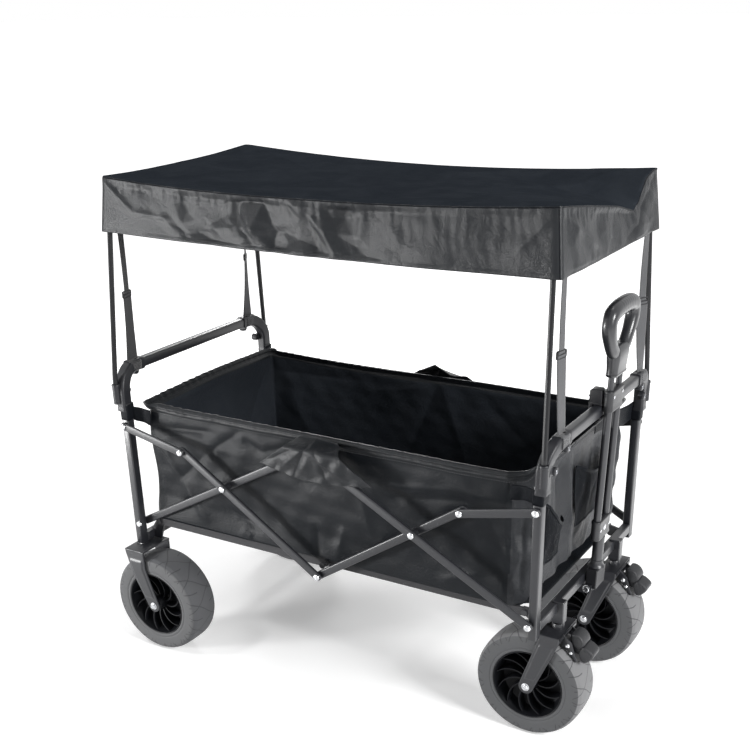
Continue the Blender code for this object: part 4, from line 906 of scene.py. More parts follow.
def sweep(path: Sequence[Sequence[float]], section: Grid, up: Sequence[float] = (0.0, 0.0, 1.0),
          sizes: Sequence[float] | None = None, closed: bool = False) -> Shape:
    """Carry a section along a path: each point is path + a * side + b * over.

    Args:
        path: Points of the path.
        section: Closed (a, b) outline of the section.
        up: Direction that the section's b axis keeps nearest to.
        sizes: Scale of the section at each point of the path.
        closed: Whether the path is a loop.

    Returns:
        The shape, with flat ends unless it is a loop.
    """
    line = np.array(path, float)
    if closed:
        heading = np.roll(line, -1, 0) - np.roll(line, 1, 0)
    else:
        heading = np.gradient(line, axis=0)
    heading /= np.linalg.norm(heading, axis=1, keepdims=True)
    side = np.cross(heading, np.array(up, float))
    side /= np.linalg.norm(side, axis=1, keepdims=True)
    over = np.cross(side, heading)
    scale = np.ones(len(line)) if sizes is None else np.array(sizes, float)
    a = section[None, :, 0, None] * scale[:, None, None]
    b = section[None, :, 1, None] * scale[:, None, None]
    points = line[:, None] + a * side[:, None] + b * over[:, None]
    shape = Shape().grid(points, wrap_rows=closed, wrap_columns=True)
    if not closed:
        shape.patch(points[0]).patch(points[-1])
    return shape


def round_path(points: Sequence[Sequence[float]], steps: int, closed: bool = False) -> Grid:
    """A smooth curve through points, by the cubic of Catmull and Rom.

    Args:
        points: What the curve goes through.
        steps: Points of the curve for each stretch between two.
        closed: Whether it returns to its start.

    Returns:
        The curve's points.
    """
    p = np.array(points, float)
    first, last = (p[-1], p[:2]) if closed else (2 * p[0] - p[1], 2 * p[-1] - p[-2])
    p = np.vstack([first, p, last])
    t = np.linspace(0.0, 1.0, steps, endpoint=False)[:, None]
    parts = [0.5 * (2 * b + (c - a) * t + (2 * a - 5 * b + 4 * c - d) * t ** 2
                    + (3 * b - a - 3 * c + d) * t ** 3)
             for a, b, c, d in zip(p[:-3], p[1:-2], p[2:-1], p[3:])]
    curve = np.concatenate(parts)
    return curve if closed else np.vstack([curve, p[-2]])


def circle(radius: float, steps: int = 16) -> Grid:
    """A round section."""
    turn = np.linspace(0.0, TURN, steps, endpoint=False)
    return radius * stacked(np.cos(turn), np.sin(turn))


def at(x: float, y: float, z: float) -> Matrix:
    """A move to a cart point."""
    return Matrix.Translation((x, y, z))


# Sub-assemblies


class Cart:
    """Places that several sub-assemblies share."""

    post_x = 0.443
    post_y = 0.2346
    post_depth = 0.016
    post_width = 0.019
    post_top = 0.530
    rear_foot = 0.2250
    front_foot = 0.2420
    rail_x = 0.456
    rail_z = 0.594
    pivot_x = 0.438
    pivot_z = 0.271
    top_z = 0.508
    cross_x = 0.211
    low_z = 0.255
    link_bolt_z = 0.485
    folded_share = 0.437
    canopy_share = 0.447
    wheel_radius = 0.105
    rear_axle_x = -0.394
    caster_x = 0.4515
    caster_y = 0.143
    front_axle_x = 0.4105

    @classmethod
    def cross_z(cls) -> float:
        """Height at which a long bar and a hanger bar cross."""
        return cls.pivot_z + (cls.top_z - cls.pivot_z) * (cls.pivot_x - cls.cross_x) / cls.pivot_x


@dataclass
class Studio:
    """The camera of the photograph, a pale floor and soft light.

    A lamp is its name, its place, its width and its power.
    """

    eye: Point = (1.09599, -1.81429, 1.25018)
    yaw: float = 30.958
    pitch: float = -25.735
    roll: float = -1.158
    lens: float = 54.50
    shift: tuple[float, float] = (-0.0137, 0.2212)
    aim: Point = (0.0, 0.0, 0.45)
    floor_half: float = 60.0
    lamps: tuple[tuple[str, Point, float, float], ...] = (
        ("key", (2.9, -0.7, 1.7), 0.90, 104.0), ("fill", (-2.3, -2.2, 0.45), 0.50, 88.0),
        ("edge", (-1.55, -1.5, 2.6), 0.35, 16.0), ("top", (-0.4, 0.5, 3.2), 1.60, 26.0),
        ("rim", (-1.9, 2.5, 1.75), 0.70, 30.0))

    def build(self) -> None:
        """Make the camera, the floor, the world and the lamps."""
        self.make_camera()
        self.make_floor()
        self.make_world()
        for lamp in self.lamps:
            self.make_lamp(*lamp)
        bpy.context.scene.view_settings.view_transform = "Standard"

    def make_camera(self) -> None:
        """Set the camera at the photograph's viewpoint.

        The columns of its matrix are right, up and back, turned by the roll about the view.
        """
        yaw, pitch, roll = (math.radians(a) for a in (self.yaw, self.pitch, self.roll))
        look = Vector((-math.sin(yaw) * math.cos(pitch), math.cos(yaw) * math.cos(pitch),
                       math.sin(pitch)))
        right = Vector((math.cos(yaw), math.sin(yaw), 0.0))
        up = right.cross(look)
        right, up = (math.cos(roll) * right + math.sin(roll) * up,
                     math.cos(roll) * up - math.sin(roll) * right)
        data = bpy.data.cameras.new("camera")
        data.sensor_width = 36.0
        data.lens = self.lens
        data.shift_x, data.shift_y = self.shift
        camera = bpy.data.objects.new("camera", data)
        camera.matrix_world = Matrix(((right.x, up.x, -look.x, self.eye[0] - MIDDLE_X),
                                      (right.y, up.y, -look.y, self.eye[1]),
                                      (right.z, up.z, -look.z, self.eye[2]), (0, 0, 0, 1)))
        bpy.context.scene.collection.objects.link(camera)
        bpy.context.scene.camera = camera

    def make_floor(self) -> None:
        """A wide pale floor, not part of the object.

        Its glow for the camera is dimmer under the cart, where the camera sees the cart's shade.
        For gloss rays its glow paints reflections: darker still under the cart, and brighter past
        the cart's two ends, brightest just past the front end.
        """
        mesh = bpy.data.meshes.new("floor")
        half = self.floor_half
        mesh.from_pydata([(-half, -half, 0), (half, -half, 0), (half, half, 0), (-half, half, 0)],
                         [], [(0, 1, 2, 3)])
        graph = Graph("studio floor")
        place = graph.place()
        tone = graph.mix(graph.noise(place, 0.7, 2.0), (0.87, 0.87, 0.87), (0.89, 0.89, 0.89))
        seen = graph.add("ShaderNodeLightPath", output="Is Camera Ray")
        mirrored = (graph.add("ShaderNodeLightPath", output="Is Glossy Ray")
                    + graph.add("ShaderNodeLightPath", output="Is Transmission Ray"))
        distance = graph.add("ShaderNodeVectorMath", {"operation": "LENGTH"}, {0: place}, "Value")
        aside = graph.part(place, "X")
        # Painted reflection: gloss rays see the floor glow brighter past both ends of the cart, brighter
        # than white just past the front end.
        painted_reflection_glow = (0.30 + graph.step(0.0 - aside, 0.35, 1.20) * 0.70
               + graph.step(aside, 0.40, 0.75) * (1.50 - graph.step(aside, 0.90, 1.25)))
        level = (seen * (0.30 + graph.step(distance, 0.7, 2.6) * 0.70)
                 + graph.clamp(mirrored) * painted_reflection_glow)
        mesh.materials.append(graph.finish(Base_Color=tone, Roughness=0.9, Emission_Strength=1.0,
                                           Specular_IOR_Level=0.1, Emission_Color=level))
        floor = bpy.data.objects.new("floor", mesh)
        bpy.context.scene.collection.objects.link(floor)

    def make_world(self) -> None:
        """White where the camera, a gloss or glass sees it, and a soft level elsewhere."""
        world = bpy.data.worlds.new("studio")
        bpy.context.scene.world = world
        world.use_nodes = True
        tree = world.node_tree
        tree.nodes.clear()
        path = tree.nodes.new("ShaderNodeLightPath")
        seen: bpy.types.NodeSocket | None = None
        for name in ("Is Camera Ray", "Is Glossy Ray", "Is Transmission Ray"):
            if seen is None:
                seen = path.outputs[name]
                continue
            add = tree.nodes.new("ShaderNodeMath")
            add.operation = "ADD"
            add.use_clamp = True
            tree.links.new(seen, add.inputs[0])
            tree.links.new(path.outputs[name], add.inputs[1])
            seen = add.outputs[0]
        strength = tree.nodes.new("ShaderNodeMapRange")
        strength.inputs["To Min"].default_value = 0.22
        strength.inputs["To Max"].default_value = 1.0
        tree.links.new(seen, strength.inputs["Value"])
        sky = tree.nodes.new("ShaderNodeBackground")
        sky.inputs["Color"].default_value = (1.0, 1.0, 1.0, 1.0)
        tree.links.new(strength.outputs[0], sky.inputs["Strength"])
        out = tree.nodes.new("ShaderNodeOutputWorld")
        tree.links.new(sky.outputs[0], out.inputs["Surface"])

    def make_lamp(self, name: str, place: Point, size: float, power: float) -> None:
        """A square soft lamp aimed at the middle of the cart."""
        data = bpy.data.lights.new(name, "AREA")
        data.size = size
        data.energy = power
        lamp = bpy.data.objects.new(name, data)
        lamp.location = place
        lamp.rotation_mode = "QUATERNION"
        aim = Vector(self.aim) - Vector(place)
        lamp.rotation_quaternion = aim.to_track_quat("-Z", "Y")
        bpy.context.scene.collection.objects.link(lamp)


def rivets(places: Iterable[Point], side: Side) -> Shape:
    """Rivet heads at cart points on one side, where y counts outwards without its sign."""
    shape = Shape()
    turn = Matrix.Rotation(0.0 if side is Side.NEAR else math.pi, 4, "Z")
    for x, y, z in places:
        shape.join(dome(0.0066, 0.0036, 14, 0.0007).moved(at(x, side.value * y, z) @ turn))
    return shape


@dataclass
class FoldingFrame:
    """Posts, rails and the folding bars of both sides, with their rivets."""

    bar_height: float = 0.016
    bar_round: float = 0.0030
    inner_bar: tuple[float, float] = (0.2160, 0.2240)
    outer_bar: tuple[float, float] = (0.2447, 0.2527)
    rear_hanger: tuple[float, float] = (0.2361, 0.2441)
    front_hanger: tuple[float, float] = (0.2269, 0.2349)
    link: tuple[float, float] = (0.2447, 0.2507)
    link_inner: tuple[float, float] = (0.3037, 0.4548)
    rail_half: float = 0.1874
    lift: float = 0.0006
    spacer_radius: float = 0.0068

    def build(self) -> None:
        """Make the posts, rails, bars and rivets."""
        for end in End:
            self.make_rail(end)
            for side in Side:
                self.make_post(end, side)
        for side in Side:
            self.make_bars(side)
        for name in ("rear_cross_tube", "front_cross_frame", "handle_bracket"):
            dress(name, FRAME_COAT)
        for name in ("base_rear", "base_front"):
            dress(name, BOARD)
        for end in End:
            for side in Side:
                dress("canopy_pole_%s_%s" % (end.word, side.word), POLE_COAT)

    def make_post(self, end: End, side: Side) -> None:
        """One post: a rounded rectangle carried straight up."""
        foot = Cart.rear_foot if end is End.REAR else Cart.front_foot
        section = round_box((Cart.post_depth / 2, Cart.post_width / 2), 0.0026)
        x, y = end.value * Cart.post_x, side.value * Cart.post_y
        heights = (foot + 0.0005, foot + 0.0012, Cart.post_top - 0.0012, Cart.post_top - 0.0004)
        rings = [stacked(x + k * section[:, 0], y + k * section[:, 1], z)
                 for k, z in zip((0.96, 1.0, 1.0, 0.96), heights)]
        shape = Shape().grid(np.array(rings), wrap_columns=True).patch(rings[0]).patch(rings[-1])
        node = "%s_post_%s" % (end.word, side.word)
        add_piece(node + "_tube", shape, FRAME_COAT, end.body, [node], sharp=50.0)
        outer = (self.outer_bar[1] + self.lift if end is End.FRONT else
                 Cart.post_y + Cart.post_width / 2)
        bolts = [(end.value * Cart.post_x, self.link[1] + self.lift, Cart.link_bolt_z),
                 (end.value * Cart.pivot_x, outer, Cart.pivot_z)]
        add_piece(node + "_rivets", rivets(bolts, side), ZINC, end.body)

    def make_rail(self, end: End) -> None:
        """The rail across one end: a rounded rectangle carried along Y."""
        section = round_box((0.009, 0.010), 0.0042)
        path = [(end.value * Cart.rail_x, side.value * self.rail_half, Cart.rail_z)
                for side in Side]
        name = "%s_push_rail" % end.word
        add_piece(name + "_tube", sweep(path, section), FRAME_COAT, end.body, [name],
                  sharp=50.0)

    def bar(self, start: tuple[float, float], end: tuple[float, float],
            level: tuple[float, float], side: Side) -> Shape:
        """A flat bar with round ends about two (x, z) points, its edges well rounded."""
        height = self.bar_height
        heading = math.degrees(math.atan2(end[1] - start[1], end[0] - start[0]))
        outline = (arc(start, height / 2, heading + 90, heading + 270, 10)
                   + arc(end, height / 2, heading - 90, heading + 90, 10))
        low, high = sorted((side.value * level[0], side.value * level[1]))
        return plate(outline, low, high, min(self.bar_round, 0.45 * (high - low)), 4)

    def make_bars(self, side: Side) -> None:
        """The long bars, hangers and links of one side.

        Each bar is its body, its two (x, z) points and its level along Y. A spacer is its
        (x, z) point and the levels that it fills between two bars.
        """
        top = (0.0, Cart.top_z)
        low = (0.0, Cart.low_z)
        cross = Cart.cross_z()
        bars = {
            "long_bar_rear": ("long_bars_rear", (-Cart.pivot_x, Cart.pivot_z), top, self.inner_bar),
            "long_bar_front": ("long_bars_front", top, (Cart.pivot_x, Cart.pivot_z), self.outer_bar),
            "hanger_rear": ("hangers_rear", (-self.link_inner[0], self.link_inner[1]), low,
                            self.rear_hanger),
            "hanger_front": ("hangers_front", self.link_inner, low, self.front_hanger),
            "link_rear": ("links_rear", (-Cart.post_x, Cart.link_bolt_z),
                          (-self.link_inner[0], self.link_inner[1]), self.link),
            "link_front": ("links_front", (Cart.post_x, Cart.link_bolt_z), self.link_inner,
                           self.link),
        }
        heads = {
            "long_bar_rear": [(-Cart.cross_x, self.rear_hanger[1] + self.lift, cross),
                              (0.0, self.outer_bar[1] + self.lift, Cart.top_z)],
            "long_bar_front": [(Cart.cross_x, self.outer_bar[1], cross)],
            "hanger_rear": [(0.0, self.rear_hanger[1], Cart.low_z)],
            "link_rear": [(-self.link_inner[0], self.link[1], self.link_inner[1])],
            "link_front": [(self.link_inner[0], self.link[1], self.link_inner[1])],
        }
        spacers = {
            "long_bar_rear": [(-Cart.cross_x, cross, self.inner_bar[1], self.rear_hanger[1]),
                              (0.0, Cart.top_z, self.inner_bar[1], self.outer_bar[1])],
            "long_bar_front": [(Cart.cross_x, cross, self.front_hanger[0] - 0.003,
                                self.outer_bar[0])],
            "hanger_front": [(self.link_inner[0], self.link_inner[1], self.front_hanger[1],
                              self.link[0]),
                             (0.0, Cart.low_z, self.front_hanger[0] - 0.003,
                              self.front_hanger[0])],
        }
        for name, (body, start, end, level) in bars.items():
            shape = self.bar(start, end, level, side)
            for x, z, inner, outer in spacers.get(name, ()):
                ends = sorted((side.value * (inner - 0.0002), side.value * (outer + 0.0002)))
                spacer = lathe([(self.spacer_radius, level) for level in ends], 20)
                shape.join(spacer.moved(at(x, 0.0, z)))
            node = "%s_%s" % (name, side.word)
            add_piece(node + "_bar", shape, FRAME_COAT, body, [node], sharp=50.0)
            if name in heads:
                add_piece(node + "_rivets", rivets(heads[name], side), ZINC, body)


def dress(node: str, finish: Finish) -> None:
    """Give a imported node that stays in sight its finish."""
    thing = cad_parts[node]
    if not thing.material_slots:
        thing.data.materials.append(finish.material())
    for slot in thing.material_slots:
        slot.material = finish.material()
    log.info("%s: finished in %s", node, finish.name)


@dataclass
class Wheel:
    """One wheel: a foam tyre and a dished fan hub, turned about Y."""

    node: str
    body: str
    place: Point
    repeats: int = 11
    steps: int = 176
    half: float = 0.036
    blades: int = 12
    dish: float = 0.0290

    def build(self) -> None:
        """Make the tyre and the hub."""
        self.make_tyre()
        self.make_hub()

    def make_tyre(self) -> None:
        """The tyre: a closed profile of rounded shoulders turned about the axle.

        The profile goes from the bead over one sidewall, the tread and the other sidewall. Its
        map holds the turn in repeats of the tread pattern and the distance along the profile
        from its middle, in centimetres.
        """
        wall = [(0.0686, 0.0300), (0.0688, 0.0345), (0.0706, 0.0356), (0.0745, 0.0357),
                (0.0752, 0.0350), (0.0759, 0.0357), (0.0800, 0.0359), (0.0860, 0.0360),
                (0.0930, 0.0360), (0.0978, 0.0356), (0.1000, 0.0340), (0.1008, 0.0322),
                (0.1012, 0.0312), (0.1026, 0.0300), (0.1036, 0.0270), (0.1042, 0.0220),
                (0.1047, 0.0150), (0.1050, 0.0075)]
        profile = np.array(wall + [(0.1050, 0.0)] + [(r, -y) for r, y in reversed(wall)])
        run = run_along(profile)
        across = (run - run[-1] / 2) * 100.0
        turn = np.linspace(0.0, TURN, self.steps + 1)
        radius, along = profile.T
        points = stacked(np.outer(radius, np.cos(turn)), along[:, None],
                         np.outer(radius, np.sin(turn)))
        uv = stacked(turn / TURN * self.repeats, across[:, None])
        shape = Shape().grid(points, uv=uv).grid(np.stack([points[0], points[-1]]))
        # Front tyres take the finish with painted light on the tread, rear tyres the one with painted
        # shade on it.
        add_piece(self.node + "_foam_tyre", shape.moved(at(*self.place)),
                  RUBBER if self.place[0] > 0 else SHADED_REAR_RUBBER, self.body,
                  [self.node + "_tyre"], sharp=60.0)

    def make_hub(self) -> None:
        """The hub: two turned dishes back to back, a boss, and curved blades in each dish."""
        face, deep = self.half - 0.0012, self.half - self.dish
        profile = [(0.0060, 0.0335), (0.0105, 0.0335), (0.0122, 0.0322), (0.0145, 0.0200),
                   (0.0170, deep + 0.003), (0.0205, deep), (0.0540, deep),
                   (0.0585, deep + 0.002), (0.0615, deep + 0.008), (0.0655, face - 0.004),
                   (0.0664, face), (0.0676, face + 0.0006), (0.0684, face - 0.0004),
                   (0.0685, face - 0.006)]
        profile += [(r, -y) for r, y in reversed(profile)]
        shape = lathe(profile, 96, loop=True)
        for hand in (-1, 1):
            for number in range(self.blades):
                start = TURN * (number + 0.25 * hand) / self.blades
                shape.join(self.blade(start, hand, deep, face))
        add_piece(self.node + "_fan_hub", shape.moved(at(*self.place)), HUB_PLASTIC,
                  self.body, [self.node + "_hub"], sharp=35.0)

    def blade(self, start: float, hand: int, deep: float, face: float) -> Shape:
        """One blade: a thin wall that curves more the further out it runs.

        Args:
            start: Its angle at the boss.
            hand: Which dish it stands in, -1 or 1.
            deep: Level of the dish's floor.
            face: Level of the hub's rim.

        Returns:
            The shape.
        """
        inner, outer = 0.0165, 0.0635
        t = np.linspace(0.0, 1.0, 14)
        radius = inner + (outer - inner) * t
        angle = start - hand * 0.52 * t ** 1.6
        low = np.full_like(t, deep - 0.001)
        high = face - 0.013 + 0.009 * t
        thick = 0.0009 + 0.0004 * (1.0 - t)
        rows = []
        for side, level in ((-1, low), (-1, high), (1, high), (1, low)):
            turned = angle + side * thick / radius
            rows.append(stacked(radius * np.cos(turned), hand * level, radius * np.sin(turned)))
        points = np.array(rows)
        return Shape().grid(points, wrap_rows=True).patch(points[:, 0]).patch(points[:, -1])


@dataclass
class WheelForks:
    """The four bent sheet forks with their embossed legs and slotted axle bolts."""

    gap: float = 0.0780
    sheet: float = 0.0030
    foot_round: float = 0.0140
    caster_top: float = 0.2220
    flange_x: float = 0.4684
    flange: float = 0.0120
    ear_inner: float = 0.0181
    ear_thick: float = 0.0030

    def build(self) -> None:
        """Make the forks of the fixed wheels and of the casters."""
        rear_back = [(-0.456, 0.2250), (-0.456, 0.219), (-0.442, 0.170), (-0.4067, 0.0991)]
        rear_front = [(-0.408, 0.2250), (-0.408, 0.219), (-0.407, 0.185), (-0.3805, 0.1086)]
        caster_back = [(0.432, 0.2220), (0.433, 0.216), (0.3970, 0.1086)]
        caster_front = [(0.470, 0.2220), (0.470, 0.210), (0.4240, 0.1014)]
        for side in Side:
            y = side.value * Cart.post_y
            node = "rear_fork_%s" % side.word
            shape = self.fork(y, Cart.rear_foot, Cart.rear_axle_x, rear_back, rear_front)
            shape.join(self.weld(side))
            add_piece(node + "_sheet", shape, FRAME_COAT, "rear_frame", [node],
                      sharp=42.0)
            self.make_bolt("rear_axle_bolt_%s" % side.word, "rear_frame", Cart.rear_axle_x, y)
            y = side.value * Cart.caster_y
            node = "caster_fork_%s" % side.word
            body = "caster_%s" % side.word
            shape = self.fork(y, self.caster_top, Cart.front_axle_x, caster_back, caster_front)
            shape.join(self.caster_head(y))
            add_piece(node + "_sheet", shape, FRAME_COAT, body, [node], sharp=42.0)
            self.make_bolt("caster_axle_bolt_%s" % side.word, body, Cart.front_axle_x, y)

    def fork(self, middle: float, top: float, axle: float, back: list[tuple[float, float]],
             front: list[tuple[float, float]]) -> Shape:
        """One fork: a top plate and two legs with a long channel pressed outwards.

        Args:
            middle: Y of the wheel's middle.
            top: Height of the plate.
            axle: X of the axle.
            back: (x, height) points of a leg's rear edge, from the plate to its round foot.
            front: The same for its other edge.

        Returns:
            The shape.
        """
        section = round_box((self.gap / 2 + self.sheet, self.sheet / 2), 0.0013, 3)
        shape = sweep([(x, middle, top - self.sheet / 2) for x in (back[0][0], front[0][0])],
                      section)
        foot = Cart.wheel_radius + self.foot_round * np.sin(np.radians(np.linspace(-88, -8, 10)))
        height = np.concatenate([foot, np.linspace(foot[-1] + 0.002, top - self.sheet / 2, 44)])
        drop = height - Cart.wheel_radius
        round_half = np.sqrt(np.maximum(self.foot_round ** 2 - drop ** 2, 0.0))
        edges = []
        for points, hand in ((back, -1), (front, 1)):
            x, z = np.array(points[::-1]).T
            edges.append(np.where(height < z[0], axle + hand * round_half,
                                  np.interp(height, z, x)))
        across = np.linspace(0.0, 1.0, 27)
        width = (edges[1] - edges[0])[:, None]
        x = edges[0][:, None] + width * across
        z = np.repeat(height[:, None], len(across), 1)
        from_edge = np.minimum(across, 1.0 - across) * width
        inside = (smooth_step(0.0045, 0.0070, from_edge)
                  * smooth_step(Cart.wheel_radius + 0.016, Cart.wheel_radius + 0.021, z)
                  * (1.0 - smooth_step(top - 0.024, top - 0.019, z)))
        bevel = 1.0 - smooth_step(0.0, 0.0012, from_edge)
        wall = self.gap / 2 + self.sheet
        for hand in (-1, 1):
            outer = middle + hand * (wall + 0.0019 * inside - 0.0009 * bevel)
            inner = middle + hand * self.gap / 2
            sheets = [stacked(x, y, z) for y in (outer, inner)]
            shape.grid(sheets[0]).grid(sheets[1])
            rims = [np.concatenate([s[:, 0], s[-1, 1:], s[-2::-1, -1], s[0, -2:0:-1]])
                    for s in sheets]
            shape.grid(np.array(rims), wrap_columns=True)
        return shape

    def caster_head(self, middle: float) -> Shape:
        """A caster's boss, its front flange with a pressed ridge, and the pedal's ears."""
        shape = lathe([(0.0050, 0.0), (0.0110, 0.0), (0.0110, 0.0086), (0.0102, 0.0096),
                       (0.0050, 0.0096)], 28, axis="Z").moved(
                           at(Cart.caster_x, middle, self.caster_top))
        section = round_box((0.0016, self.flange / 2), 0.0012, 3)
        x = self.flange_x
        half = self.gap / 2 + 0.001
        z = self.caster_top - self.flange / 2
        shape.join(sweep([(x, middle - half, z), (x, middle + half, z)], section))
        ridge = round_box((0.0012, 0.0022), 0.0010, 3)
        shape.join(sweep([(x + 0.0018, middle - half + 0.004, z),
                          (x + 0.0018, middle + half - 0.004, z)], ridge))
        ear = [(0.4690, 0.2205), (0.4860, 0.2080), (0.4900, 0.1960), (0.4985, 0.1735),
               (0.4960, 0.1705), (0.4925, 0.1720), (0.4790, 0.1905), (0.4690, 0.1965)]
        for hand in (-1, 1):
            low, high = sorted((middle + hand * self.ear_inner,
                                middle + hand * (self.ear_inner + self.ear_thick)))
            shape.join(plate(ear, low, high, 0.0008, 2))
        return shape

    def weld(self, side: Side) -> Shape:
        """The weld bead round a rear post where it stands on its fork."""
        ring = round_box((Cart.post_depth / 2 + 0.0004, Cart.post_width / 2 + 0.0004), 0.003, 5)
        beads = 1.0 + 0.22 * np.sin(np.arange(len(ring)) * 2.1)
        path = [(x - Cart.post_x, y + side.value * Cart.post_y, Cart.rear_foot + 0.0009)
                for x, y in ring]
        return sweep(path, circle(0.0014, 8), sizes=beads, closed=True)

    def make_bolt(self, node: str, body: str, x: float, middle: float) -> None:
        """The axle bolt: a shank and two broad heads over washers, each with a slot."""
        half = self.gap / 2 + self.sheet
        shape = lathe([(0.004, -half), (0.004, half)], 16)
        for hand in (-1, 1):
            profile = [(0.0078, 0.0), (0.0078, 0.0008), (0.0060, 0.0010), (0.0060, 0.0028),
                       (0.0052, 0.0038), (0.0034, 0.0042)]
            shape.join(lathe([(r, hand * (half + y)) for r, y in profile], 28))
            for edge in (-1, 1):
                low, high = sorted((hand * (half + 0.0036), hand * (half + 0.0050)))
                slot = arc((0.0, 0.0), 0.0046, 14, 166, 8)
                shape.join(plate([(u, edge * v) for u, v in slot], low, high, 0.0004, 1))
        turn = Matrix.Rotation(math.radians(35.0), 4, "Y")
        add_piece(node + "_zinc", shape.moved(at(x, middle, Cart.wheel_radius) @ turn), ZINC,
                  body, [node], sharp=30.0)


def stitches(path: Grid, outward: Grid) -> Shape:
    """A row of stitches along a path, each a short bead that dips at both ends.

    Args:
        path: Points that the thread follows.
        outward: Unit direction away from the cloth at each point.

    Returns:
        The shape.
    """
    length, gap, size = 0.0030, 0.0016, 0.00042
    run = run_along(path)
    shape = Shape()
    section = circle(1.0, 5)
    for begin in np.arange(gap, run[-1] - length, length + gap):
        places = begin + length * np.array([0.0, 0.3, 0.7, 1.0])
        point = np.stack([np.interp(places, run, path[:, k]) for k in range(3)], -1)
        away = np.stack([np.interp(places, run, outward[:, k]) for k in range(3)], -1)
        raised = point + away * size * np.array([[-0.6], [0.7], [0.7], [-0.6]])
        up = away[0] if abs(np.dot(away[0], (0.0, 0.0, 1.0))) > 0.9 else (0.0, 0.0, 1.0)
        if abs(np.dot(point[-1] - point[0], up)) > 0.9 * length:
            up = away[0]
        shape.join(sweep(raised, section * size, up, (0.5, 1.0, 1.0, 0.5)))
    return shape


# Folds of the cloth, each its start, its end, its width and its height

NEAR_WALL_FOLDS: tuple[Fold, ...] = (
    ((-0.187, 0.504), (-0.272, 0.444), 0.0065, -0.0042),
    ((-0.272, 0.444), (-0.345, 0.375), 0.0080, -0.0040),
    ((-0.178, 0.490), (-0.139, 0.472), 0.0050, -0.0040),
    ((-0.139, 0.472), (-0.030, 0.508), 0.0060, -0.0044),
    ((-0.382, 0.447), (-0.344, 0.389), 0.0120, 0.0070),
    ((-0.344, 0.389), (-0.282, 0.302), 0.0140, 0.0066),
    ((-0.425, 0.478), (-0.250, 0.492), 0.0060, -0.0052),
    ((-0.405, 0.450), (-0.330, 0.475), 0.0110, 0.0040),
    ((-0.330, 0.478), (-0.215, 0.455), 0.0100, 0.0036),
    ((-0.250, 0.400), (-0.200, 0.350), 0.0200, 0.0040),
    ((-0.234, 0.340), (-0.153, 0.307), 0.0090, -0.0045),
    ((-0.196, 0.298), (-0.172, 0.286), 0.0070, 0.0036),
    ((-0.018, 0.345), (-0.016, 0.282), 0.0080, -0.0058),
    ((0.045, 0.355), (0.027, 0.292), 0.0110, 0.0056),
    ((0.082, 0.440), (0.104, 0.350), 0.0160, 0.0050),
    ((0.118, 0.455), (0.290, 0.480), 0.0110, 0.0052),
    ((0.130, 0.436), (0.300, 0.462), 0.0100, -0.0048),
    ((0.114, 0.436), (0.190, 0.370), 0.0120, -0.0046),
    ((0.290, 0.478), (0.405, 0.470), 0.0100, 0.0034),
    ((0.330, 0.440), (0.395, 0.330), 0.0150, -0.0056),
    ((0.250, 0.300), (0.330, 0.330), 0.0120, 0.0036),
    ((0.376, 0.300), (0.402, 0.380), 0.0080, 0.0048),
    ((0.390, 0.480), (0.398, 0.400), 0.0070, -0.0040))
FAR_WALL_FOLDS: tuple[Fold, ...] = (
    ((0.020, 0.510), (-0.060, 0.330), 0.016, 0.0052),
    ((0.030, 0.505), (0.100, 0.320), 0.018, -0.0056),
    ((0.000, 0.500), (-0.150, 0.470), 0.010, -0.0050),
    ((-0.400, 0.480), (-0.180, 0.488), 0.008, 0.0044),
    ((-0.360, 0.440), (-0.300, 0.320), 0.018, -0.0040),
    ((0.140, 0.480), (0.330, 0.330), 0.018, 0.0050),
    ((0.400, 0.470), (0.300, 0.440), 0.012, -0.0040))
FRONT_WALL_FOLDS: tuple[Fold, ...] = (
    ((-0.205, 0.500), (-0.196, 0.330), 0.006, 0.0048),
    ((-0.150, 0.530), (-0.135, 0.330), 0.008, -0.0048),
    ((-0.095, 0.520), (-0.030, 0.330), 0.009, 0.0046),
    ((0.095, 0.530), (0.110, 0.340), 0.008, -0.0046))
REAR_WALL_FOLDS: tuple[Fold, ...] = (
    ((-0.19, 0.50), (0.02, 0.32), 0.014, -0.004),
    ((0.19, 0.49), (0.08, 0.33), 0.012, 0.004))
FLAP_FOLDS: tuple[Fold, ...] = (
    ((0.004, 0.534), (-0.030, 0.462), 0.0045, -0.0042),
    ((-0.004, 0.520), (-0.060, 0.470), 0.0060, 0.0026),
    ((0.010, 0.530), (0.045, 0.460), 0.0060, -0.0032),
    ((0.020, 0.505), (0.090, 0.470), 0.0070, 0.0026),
    ((-0.012, 0.524), (-0.095, 0.478), 0.0050, -0.0032))
POCKET_FOLDS: tuple[Fold, ...] = (
    ((0.30, 0.95), (0.42, 0.05), 0.05, 0.0040),
    ((0.72, 0.90), (0.58, 0.10), 0.06, -0.0036))
CANOPY_FOLDS: tuple[Fold, ...] = (
    ((0.440, -0.215), (0.10, -0.020), 0.010, 0.0030),
    ((0.440, 0.215), (0.05, 0.120), 0.009, 0.0038),
    ((0.440, 0.215), (0.22, 0.030), 0.010, 0.0032),
    ((0.430, -0.200), (-0.10, -0.130), 0.008, 0.0026),
    ((-0.440, -0.215), (-0.20, -0.06), 0.010, 0.0028),
    ((-0.440, 0.215), (-0.15, 0.05), 0.010, 0.0034),
    ((0.300, 0.190), (-0.20, 0.170), 0.008, 0.0026),
    ((0.250, -0.190), (-0.30, -0.180), 0.007, -0.0018))
HEM_SIDE_FOLDS: tuple[Fold, ...] = (
    ((-0.445, 0.004), (-0.375, 0.056), 0.005, 0.0042),
    ((-0.375, 0.056), (-0.290, 0.060), 0.006, 0.0030),
    ((0.440, 0.010), (0.370, 0.070), 0.007, 0.0026))
HEM_END_FOLDS: tuple[Fold, ...] = (
    ((-0.21, 0.01), (-0.05, 0.08), 0.009, 0.0040),
    ((0.20, 0.01), (0.06, 0.09), 0.010, -0.0040))


